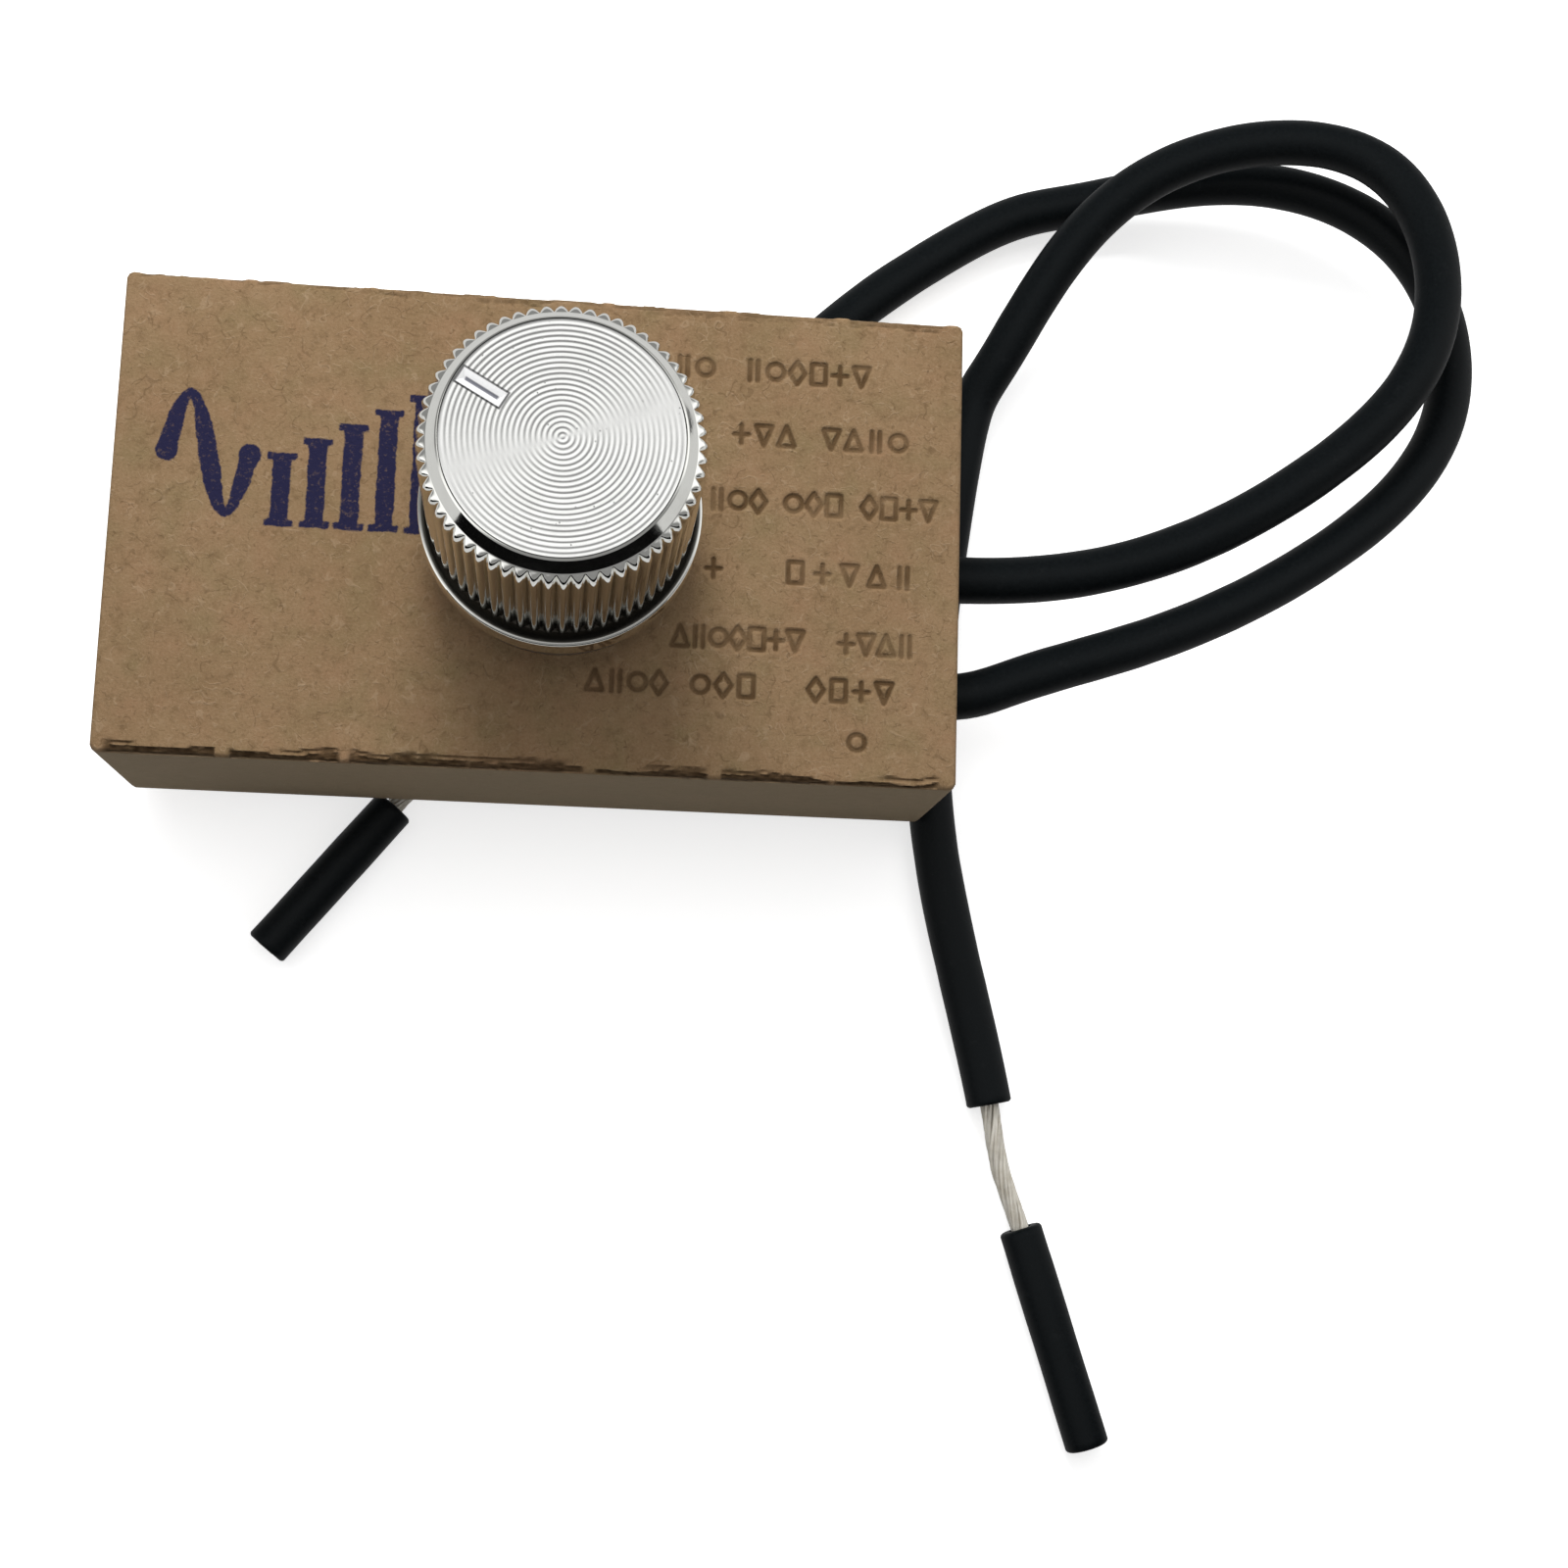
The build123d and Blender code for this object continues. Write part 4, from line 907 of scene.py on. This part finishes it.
def shaft_bore(radius, flat):
    """Radius over the angles of a round bore with one flat at +Y."""
    angles = np.arange(KNURL_TEETH * TOOTH_SAMPLES) * 2 * math.pi / (KNURL_TEETH * TOOTH_SAMPLES)
    height = np.sin(angles)
    return np.where(height > flat / radius, flat / np.maximum(height, 1e-3), radius)


def knob_piece():
    """Knob shell: flange, knurl, mirror chamfer, disc seat, and inside the cavity, hub and flatted bore."""
    low, top = KNOB_LOW[2], KNOB_HIGH[2]
    cavity, hub, hub_low, cavity_high, bore_high = 5.95, 4.4, 7.6, 14.2, 13.8
    flange_round = 0.20
    rows = [(cavity, hub_low), (cavity, low + 0.1), (cavity + 0.1, low), (KNOB_RADIUS - 0.12, low)]
    rows += [(KNOB_RADIUS, low + 0.12), (KNOB_RADIUS, FLANGE_HIGH - flange_round)]
    for k in range(1, 7):
        turn = k * math.pi / 12
        rows.append((
            KNOB_RADIUS - flange_round * (1 - math.cos(turn)),
            FLANGE_HIGH - flange_round * (1 - math.sin(turn)),
        ))
    # A groove round the flange's top, at the foot of the knurl
    rows += [(6.98, FLANGE_HIGH - 0.06), (6.74, FLANGE_HIGH - 0.34), (6.60, FLANGE_HIGH - 0.40)]
    rows += [(6.50, FLANGE_HIGH - 0.30), (6.50, FLANGE_HIGH + 0.40)]
    rows += [(knurl_radius(0.0), FLANGE_HIGH + 0.42), (knurl_radius(0.6), FLANGE_HIGH + 0.55)]
    rows += [(knurl_radius(0.9), FLANGE_HIGH + 0.75), (knurl_radius(1.0), FLANGE_HIGH + 1.0)]
    body_rows = 8
    for k in range(1, body_rows):
        rows.append((knurl_radius(1.0), FLANGE_HIGH + 1.3 + (KNURL_HIGH - FLANGE_HIGH - 1.9) * k / body_rows))
    # The teeth end as beads on the shoulder
    for fullness, inset, level in BEAD_ROWS:
        rows.append((knurl_radius(fullness) - inset, KNURL_HIGH + level))
    rows += [(SHOULDER_RADIUS + 0.01, SHOULDER_HIGH - 0.01), (SHOULDER_RADIUS - 0.02, SHOULDER_HIGH + 0.02)]
    rows += [(DISC_RADIUS + 0.14, top - 0.10), (DISC_RADIUS + 0.08, top - 0.03), (DISC_RADIUS + 0.02, top)]
    rows += [(DISC_RADIUS, top - 0.02), (DISC_RADIUS, DISC_LOW[2])]
    rows += [(3.0, DISC_LOW[2]), (0, DISC_LOW[2])]
    inner = [(0, bore_high), (shaft_bore(3.03, 1.53), bore_high), (shaft_bore(3.03, 1.53), hub_low + 0.15)]
    inner += [(shaft_bore(3.18, 1.68), hub_low), (hub - 0.15, hub_low), (hub, hub_low + 0.15)]
    inner += [(hub, cavity_high), (cavity, cavity_high), (cavity, 10.0), (cavity, hub_low + 0.01)]
    count = KNURL_TEETH * TOOTH_SAMPLES
    shell = lathe("knob_skin", inner + rows[1:], count, smooth_deg=38)
    ribs = [knob_rib(45 + 90 * k, hub, cavity, cavity_high) for k in range(4)]
    return finish_piece(join("knob_skin", [shell] + ribs), "knob", "knob_chrome", "knob_shell")


def knob_rib(turn_deg, inner, outer, high):
    """One rib between the hub and the wall, inside the knob."""
    half, low = 0.45, 8.6
    corners = [(r, s * half, z) for r in (inner - 0.05, outer + 0.05) for s in (-1, 1) for z in (low, high + 0.05)]
    faces = [(0, 1, 3, 2), (4, 6, 7, 5), (0, 4, 5, 1), (2, 3, 7, 6), (0, 2, 6, 4), (1, 5, 7, 3)]
    rib = add_object("rib", corners, faces)
    rib.data.transform(Matrix.Rotation(math.radians(turn_deg), 4, "Z"))
    return rib


def disc_piece():
    """Spun top disc: concentric grooves, a raised lip and a V-shaped pointer recess."""
    top, low = DISC_HIGH[2], DISC_LOW[2] + 0.01
    lip = 0.30
    grooved = DISC_RADIUS - lip
    grooves, samples, depth = 21, 8, 0.017
    rows = [(0, top - depth)]
    for k in range(1, grooves * samples + 1):
        radius = grooved * k / (grooves * samples)
        rows.append((radius, top - depth * (1 + math.cos(2 * math.pi * k / samples)) / 2 - 0.01))
    edge = DISC_RADIUS - 0.02
    rows += [(grooved + 0.08, top - 0.01), (edge - 0.10, top), (edge - 0.03, top - 0.02), (edge, top - 0.08)]
    rows += [(edge, low), (0, low)]
    disc = lathe("spun_disc", rows, 240, smooth_deg=60)
    half, recess, run = POINTER_WIDTH / 2, 0.24, 0.30
    outline = [(POINTER_INNER, -half), (POINTER_OUTER, -half), (POINTER_OUTER, half), (POINTER_INNER, half)]
    floor = [(POINTER_INNER + run, 0), (POINTER_OUTER - run, 0)]
    above = 0.2
    slope = (recess + above) / recess
    corners = []
    for x, y in outline:
        centre = min(max(x, floor[0][0]), floor[1][0])
        corners.append((centre + (x - centre) * slope, y * slope, top + above))
    corners += [(x, y, top - recess) for x, y in floor]
    faces = [(0, 3, 2, 1), (0, 1, 5, 4), (2, 3, 4, 5), (1, 2, 5), (3, 0, 4)]
    wedge = add_object("cutter", corners, faces)
    wedge.data.transform(Matrix.Rotation(math.radians(POINTER_DEG), 4, "Z"))
    cut(disc, [wedge])
    return finish_piece(disc, "knob", "knob_disc", "knob_top_disc")


# The leads ----------------------------------------------------------------------------------------------------

SLEEVE_BORE = 0.65
SLEEVE_COUNT = 40
STRAND_WIRE = 0.13
STRAND_LAY = 11.0
STRAND_RINGS = ((0.23, 6), (0.42, 12))

def node_mesh(node):
    """Vertices in millimetres and edges of a CAD node."""
    mesh = NODES[node].data
    places = np.zeros(len(mesh.vertices) * 3, np.float32)
    mesh.vertices.foreach_get("co", places)
    edges = np.zeros(len(mesh.edges) * 2, np.int32)
    mesh.edges.foreach_get("vertices", edges)
    return places.reshape(-1, 3).astype(float) / MM, edges.reshape(-1, 2)


def slice_centre(points, edges, origin, heading, reach):
    """Centre of the ring where a plane cuts a round bar near a point, or None past the bar's end."""
    side = (points - origin) @ heading
    a, b = edges[:, 0], edges[:, 1]
    crossing = side[a] * side[b] < 0
    a, b = a[crossing], b[crossing]
    if not len(a):
        return None
    share = (side[a] / (side[a] - side[b]))[:, None]
    ring = points[a] * (1 - share) + points[b] * share
    ring = ring[np.linalg.norm(ring - origin, axis=1) < reach]
    if len(ring) < 6:
        return None
    # Least-squares circle in the cutting plane
    u = np.cross(heading, (0.31, 0.2, 0.93))
    u /= np.linalg.norm(u)
    v = np.cross(heading, u)
    flat = np.stack([(ring - origin) @ u, (ring - origin) @ v], axis=1)
    system = np.column_stack([2 * flat, np.ones(len(flat))])
    centre = np.linalg.lstsq(system, (flat ** 2).sum(axis=1), rcond=None)[0][:2]
    return origin + centre[0] * u + centre[1] * v


def centreline(node, start, heading, step=0.5, reach=1.1):
    """Walk along a round bar from a point inside it, both ways, and return the middle of it as a path."""
    points, edges = node_mesh(node)
    halves = []
    for sign in (-1, 1):
        way = heading * sign
        here = slice_centre(points, edges, start, way, reach)
        half = [here]
        while True:
            found = slice_centre(points, edges, here + way * step, way, reach)
            if found is None:
                break
            way = found - here
            way /= np.linalg.norm(way)
            here = found
            half.append(here)
        # The bar ends less than a step further on
        near = points[np.linalg.norm(points - here, axis=1) < reach]
        half.append(here + way * max(0.05, ((near - here) @ way).max()))
        halves.append(half)
    path = np.array(halves[0][:0:-1] + halves[1])
    for _ in range(3):
        path[1:-1] = (path[:-2] + 2 * path[1:-1] + path[2:]) / 4
    return path


def lengths(path):
    """Distance along the path to each of its points."""
    return np.concatenate([[0], np.cumsum(np.linalg.norm(np.diff(path, axis=0), axis=1))])


def stretch_of(path, start, end, step):
    """Evenly spaced points of a path between two distances along it."""
    along = lengths(path)
    wanted = np.linspace(start, end, max(2, round((end - start) / step) + 1))
    return np.column_stack([np.interp(wanted, along, path[:, axis]) for axis in range(3)])


def covered_part(path, node):
    """The stretch of a path that a CAD sleeve covers, and the sleeve's radius."""
    fine = stretch_of(path, 0, lengths(path)[-1], 0.1)
    places, _ = node_mesh(node)
    nearest, radius = [], 0.0
    for place in places:
        gaps = np.linalg.norm(fine - place, axis=1)
        nearest.append(gaps.argmin())
        radius = max(radius, gaps.min())
    along = lengths(fine)
    return along[min(nearest)], along[max(nearest)], radius


def sleeve_piece(name, path, node, seed):
    """Insulation along a path: slightly uneven, with its cut ends nipped in."""
    start, end, radius = covered_part(path, node)
    run = stretch_of(path, start, end, 0.5)
    along = lengths(run)
    uneven = 0.010 * along_noise(along, 4.0, seed) + 0.006 * along_noise(along, 1.3, seed + 1) - 0.016
    radii = radius * (1 + uneven)
    # Three extra rows at each end round off the cut edge
    nips = ((0.0, 0.16), (0.06, 0.06), (0.16, 0.0))
    head = [run[0] + (run[1] - run[0]) / 0.5 * back for back, _ in nips]
    tail = [run[-1] + (run[-2] - run[-1]) / 0.5 * back for back, _ in reversed(nips)]
    head_radii = [radii[0] - nip for _, nip in nips]
    tail_radii = [radii[-1] - nip for _, nip in reversed(nips)]
    full = np.concatenate([head, run[1:-1], tail])
    full_radii = np.concatenate([head_radii, radii[1:-1], tail_radii])
    piece = tube(name, full, full_radii, SLEEVE_COUNT, SLEEVE_BORE)
    return finish_piece(piece, "base", "black_pvc", node)


def strand_piece(name, path, node, seed):
    """Twisted strands along the whole conductor: one in the middle, six round it, twelve outside."""
    path = stretch_of(path, 0, lengths(path)[-1], 0.6)
    _, sides, ups = path_frames(path)
    along = lengths(path)
    strands = [tube("strand", path, STRAND_WIRE * 1.5, 8)]
    for ring_radius, count in STRAND_RINGS:
        for k in range(count):
            wander = 0.02 * along_noise(along, 3.0, seed + k)
            turn = 2 * math.pi * (k / count + along / STRAND_LAY) + wander * 8
            offset = np.cos(turn)[:, None] * sides + np.sin(turn)[:, None] * ups
            strands.append(tube("strand", path + offset * (ring_radius + wander)[:, None], STRAND_WIRE, 6))
    return finish_piece(join(name, strands), "base", "tinned_strands", node)


def lead_pieces(letter, seed):
    """Strands, insulation and end sleeve of one lead, along its CAD centreline."""
    mount = MOUNTS[f"lead_{letter}_bare_end"]
    start = np.array(mount["pos_m"]) / MM
    heading = np.array(mount["axis"], float)
    heading /= np.linalg.norm(heading)
    conductor = f"lead_{letter}_conductor"
    path = centreline(conductor, start, heading)
    strand_piece(f"lead_{letter}_strands", path, conductor, seed)
    for part in ("insulation", "end_sleeve"):
        node = f"lead_{letter}_{part}"
        sleeve_piece(f"lead_{letter}_{part}_skin", path, node, seed + 50)


# Panel hardware -----------------------------------------------------------------------------------------------

def bushing_piece():
    """Threaded bushing with a real helical thread, its run-out groove and a plain flange."""
    low, high = box_mm("threaded_bushing")
    flange, crest, pitch, thread_depth, bore = high[0], 5.0, 0.75, 0.36, 3.05
    count, flange_top, groove_low, groove_high = 120, -0.8, 2.45, 3.15
    angles = np.arange(count) / count
    rows = [(bore, low[2]), (flange - 0.1, low[2]), (flange, low[2] + 0.1), (flange, flange_top)]
    rows.append((crest, flange_top))
    steps = 96
    for k in range(1, steps):
        z = flange_top + (high[2] - flange_top) * k / steps
        phase = (z / pitch - angles) % 1.0
        groove = thread_depth * (1 - np.abs(2 * phase - 1))
        lead_in = max(0.0, z - (high[2] - 0.45))
        radius = np.minimum(crest - groove, crest - lead_in)
        if groove_low < z < groove_high:
            radius = np.minimum(radius, 4.6)
        rows.append((radius, z))
    rows += [(crest - 0.45, high[2]), (bore + 0.15, high[2]), (bore, high[2] - 0.15)]
    piece = lathe("threaded_barrel", rows, count, loop=True, smooth_deg=30)
    return finish_piece(piece, "base", "plated_brass", "threaded_bushing")


# Inside the box -----------------------------------------------------------------------------------------------

def winding_piece():
    """Choke winding: enamelled wire in close turns round the ferrite rod."""
    low, high = box_mm("choke_winding")
    centre = (low + high) / 2
    outer = (high[2] - low[2]) / 2
    gauge = 0.28
    turns = int((high[0] - low[0]) / (2 * gauge)) - 1
    layers = []
    for layer in range(2):
        radius = outer - gauge - layer * 2 * gauge
        steps = turns * 28
        t = np.linspace(0, 1, steps + 1)
        angle = 2 * math.pi * turns * t
        x = low[0] + gauge + (high[0] - low[0] - 2 * gauge) * (t if layer == 0 else 1 - t)
        path = np.column_stack([x, centre[1] + radius * np.cos(angle), centre[2] + radius * np.sin(angle)])
        layers.append(tube("layer", path, gauge, 8))
    return finish_piece(join("wire_winding", layers), "base", "enamelled_copper", "choke_winding")


# Stage, light and camera --------------------------------------------------------------------------------------

CAMERA_PLACE = (0.693, -33.371, 119.150)
CAMERA_RIGHT = (0.99416, 0.02841, 0.10409)
CAMERA_DOWN = (0.04505, -0.98590, -0.16116)
CAMERA_VIEW = (0.09804, 0.16490, -0.98142)
LENS = 51.75


def add_camera():
    """Camera above the face, leaning back from the near edge of the box."""
    data = bpy.data.cameras.new("camera")
    data.lens = LENS
    data.sensor_width = 36.0
    data.clip_start = 0.005
    camera = bpy.data.objects.new("camera", data)
    axes = Matrix((CAMERA_RIGHT, [-v for v in CAMERA_DOWN], [-v for v in CAMERA_VIEW])).transposed()
    camera.matrix_world = Matrix.Translation(Vector(CAMERA_PLACE) * MM) @ axes.to_4x4()
    bpy.context.scene.collection.objects.link(camera)
    bpy.context.scene.camera = camera


FLOOR_GLOW = 0.65
FLOOR_BOUNCE = 0.75
FLOOR_IN_CHROME = 0.68
CARD_RADIUS = 75.0
CARD_SPAN_DEG = 62.0
CARD_HIGH = 22.0


def stage_material(name, colour):
    """Matt stage surface; returns its node tree and surface node too."""
    material = bpy.data.materials.new(name)
    material.use_nodes = True
    tree = material.node_tree
    surface = tree.nodes["Principled BSDF"]
    surface.inputs["Base Color"].default_value = (*colour, 1)
    surface.inputs["Roughness"].default_value = 0.9
    surface.inputs["Specular IOR Level"].default_value = 0.0
    return material, tree, surface


def stage_sheet(name, corners, faces, material):
    """Stage surface through the corners given."""
    mesh = bpy.data.meshes.new(name)
    mesh.from_pydata([tuple(v * MM for v in corner) for corner in corners], [], faces)
    mesh.materials.append(material)
    sheet = bpy.data.objects.new(name, mesh)
    bpy.context.scene.collection.objects.link(sheet)
    return sheet


def floor_material():
    """White floor to the camera, a dimmer one as a source of bounced light, and pale grey in the chrome."""
    material, tree, surface = stage_material("floor", (0.95, 0.95, 0.95))
    ray = tree.nodes.new("ShaderNodeLightPath")
    shade = tree.nodes.new("ShaderNodeMapRange")
    tree.links.new(ray.outputs["Is Camera Ray"], shade.inputs["Value"])
    shade.inputs["To Min"].default_value = FLOOR_BOUNCE
    shade.inputs["To Max"].default_value = 0.95
    tree.links.new(shade.outputs["Result"], surface.inputs["Base Color"])
    surface.inputs["Emission Color"].default_value = (1, 1, 1, 1)
    glow = tree.nodes.new("ShaderNodeMath")
    glow.operation = "MULTIPLY"
    glow.inputs[1].default_value = FLOOR_GLOW
    tree.links.new(ray.outputs["Is Camera Ray"], glow.inputs[0])
    tree.links.new(glow.outputs[0], surface.inputs["Emission Strength"])
    mirror = tree.nodes.new("ShaderNodeEmission")
    mirror.inputs["Color"].default_value = (FLOOR_IN_CHROME,) * 3 + (1,)
    mix = tree.nodes.new("ShaderNodeMixShader")
    tree.links.new(ray.outputs["Is Glossy Ray"], mix.inputs[0])
    tree.links.new(surface.outputs[0], mix.inputs[1])
    tree.links.new(mirror.outputs[0], mix.inputs[2])
    tree.links.new(mix.outputs[0], tree.nodes["Material Output"].inputs["Surface"])
    return material


def add_stage():
    """Pale floor under the leads, and a curved dark card to the south that the camera doesn't see."""
    level = cad_bounds[0][2] / MM - 0.12
    far = 3000
    corners = [(-far, -far, level), (far, -far, level), (far, far, level), (-far, far, level)]
    stage_sheet("floor", corners, [(0, 1, 2, 3)], floor_material())
    steps = 24
    turns = [math.radians(-90 - CARD_SPAN_DEG + 2 * CARD_SPAN_DEG * k / steps) for k in range(steps + 1)]
    foot = [(CARD_RADIUS * math.cos(t), CARD_RADIUS * math.sin(t), level) for t in turns]
    head = [(x, y, CARD_HIGH) for x, y, _ in foot]
    faces = [(k, k + 1, steps + 2 + k, steps + 1 + k) for k in range(steps)]
    card = stage_sheet("dark_card", foot + head, faces, stage_material("dark_card", (0.004, 0.004, 0.004))[0])
    for ray in ("camera", "shadow", "transmission"):
        setattr(card, f"visible_{ray}", False)


def area_light(name, place, size, power):
    """Soft box aimed at the knob, unseen in reflections."""
    data = bpy.data.lights.new(name, "AREA")
    data.size = size * MM
    data.energy = power
    light = bpy.data.objects.new(name, data)
    light.location = Vector(place) * MM
    light.rotation_euler = (-light.location).to_track_quat("-Z", "Y").to_euler()
    light.visible_glossy = False
    bpy.context.scene.collection.objects.link(light)


def sun_light(name, toward, spread_deg, strength):
    """Wide soft light from one direction, unseen in reflections."""
    data = bpy.data.lights.new(name, "SUN")
    data.angle = math.radians(spread_deg)
    data.energy = strength
    light = bpy.data.objects.new(name, data)
    light.rotation_euler = Vector(toward).to_track_quat("Z", "Y").to_euler()
    light.visible_glossy = False
    bpy.context.scene.collection.objects.link(light)


SKY_LEVEL = 0.40
STRIP_TURN_DEG = 20.0


def add_sky():
    """Plain white sky; in the chrome it is a long overhead strip light between darker sides."""
    world = bpy.data.worlds.new("sky")
    world.use_nodes = True
    bpy.context.scene.world = world
    tree = world.node_tree
    plain = tree.nodes["Background"]
    plain.inputs["Color"].default_value = (1, 1, 1, 1)
    ray = tree.nodes.new("ShaderNodeLightPath")
    level = tree.nodes.new("ShaderNodeMapRange")
    level.inputs["To Min"].default_value = SKY_LEVEL
    level.inputs["To Max"].default_value = 1.0
    tree.links.new(ray.outputs["Is Camera Ray"], level.inputs["Value"])
    tree.links.new(level.outputs["Result"], plain.inputs["Strength"])
    direction = tree.nodes.new("ShaderNodeTexCoord").outputs["Generated"]
    across = tree.nodes.new("ShaderNodeVectorMath")
    across.operation = "DOT_PRODUCT"
    turn = math.radians(STRIP_TURN_DEG)
    across.inputs[1].default_value = (-math.sin(turn), math.cos(turn), 0)
    tree.links.new(direction, across.inputs[0])
    off = tree.nodes.new("ShaderNodeMath")
    off.operation = "ABSOLUTE"
    tree.links.new(across.outputs["Value"], off.inputs[0])
    strip = tree.nodes.new("ShaderNodeMapRange")
    strip.interpolation_type = "SMOOTHSTEP"
    for key, value in {"From Min": 0.16, "From Max": 0.52, "To Min": 1.55, "To Max": 0.34}.items():
        strip.inputs[key].default_value = value
    tree.links.new(off.outputs[0], strip.inputs["Value"])
    bright = tree.nodes.new("ShaderNodeBackground")
    tree.links.new(strip.outputs["Result"], bright.inputs["Strength"])
    mix = tree.nodes.new("ShaderNodeMixShader")
    tree.links.new(ray.outputs["Is Glossy Ray"], mix.inputs[0])
    tree.links.new(plain.outputs[0], mix.inputs[1])
    tree.links.new(bright.outputs[0], mix.inputs[2])
    tree.links.new(mix.outputs[0], tree.nodes["World Output"].inputs["Surface"])


def add_light():
    """Soft key from the upper left, with a wide weaker light from behind the box and a plain sky."""
    bpy.context.scene.view_settings.view_transform = "Standard"
    add_sky()
    area_light("key", (-15, 105, 95), 60, 0.16)
    sun_light("back", (-0.05, 0.45, 0.85), 60, 0.92)


# Build --------------------------------------------------------------------------------------------------------

finish_cad_nodes()
tray_piece()
knob_piece()
disc_piece()
lead_pieces("a", 100)
lead_pieces("b", 200)
bushing_piece()
winding_piece()
add_stage()
add_light()
add_camera()
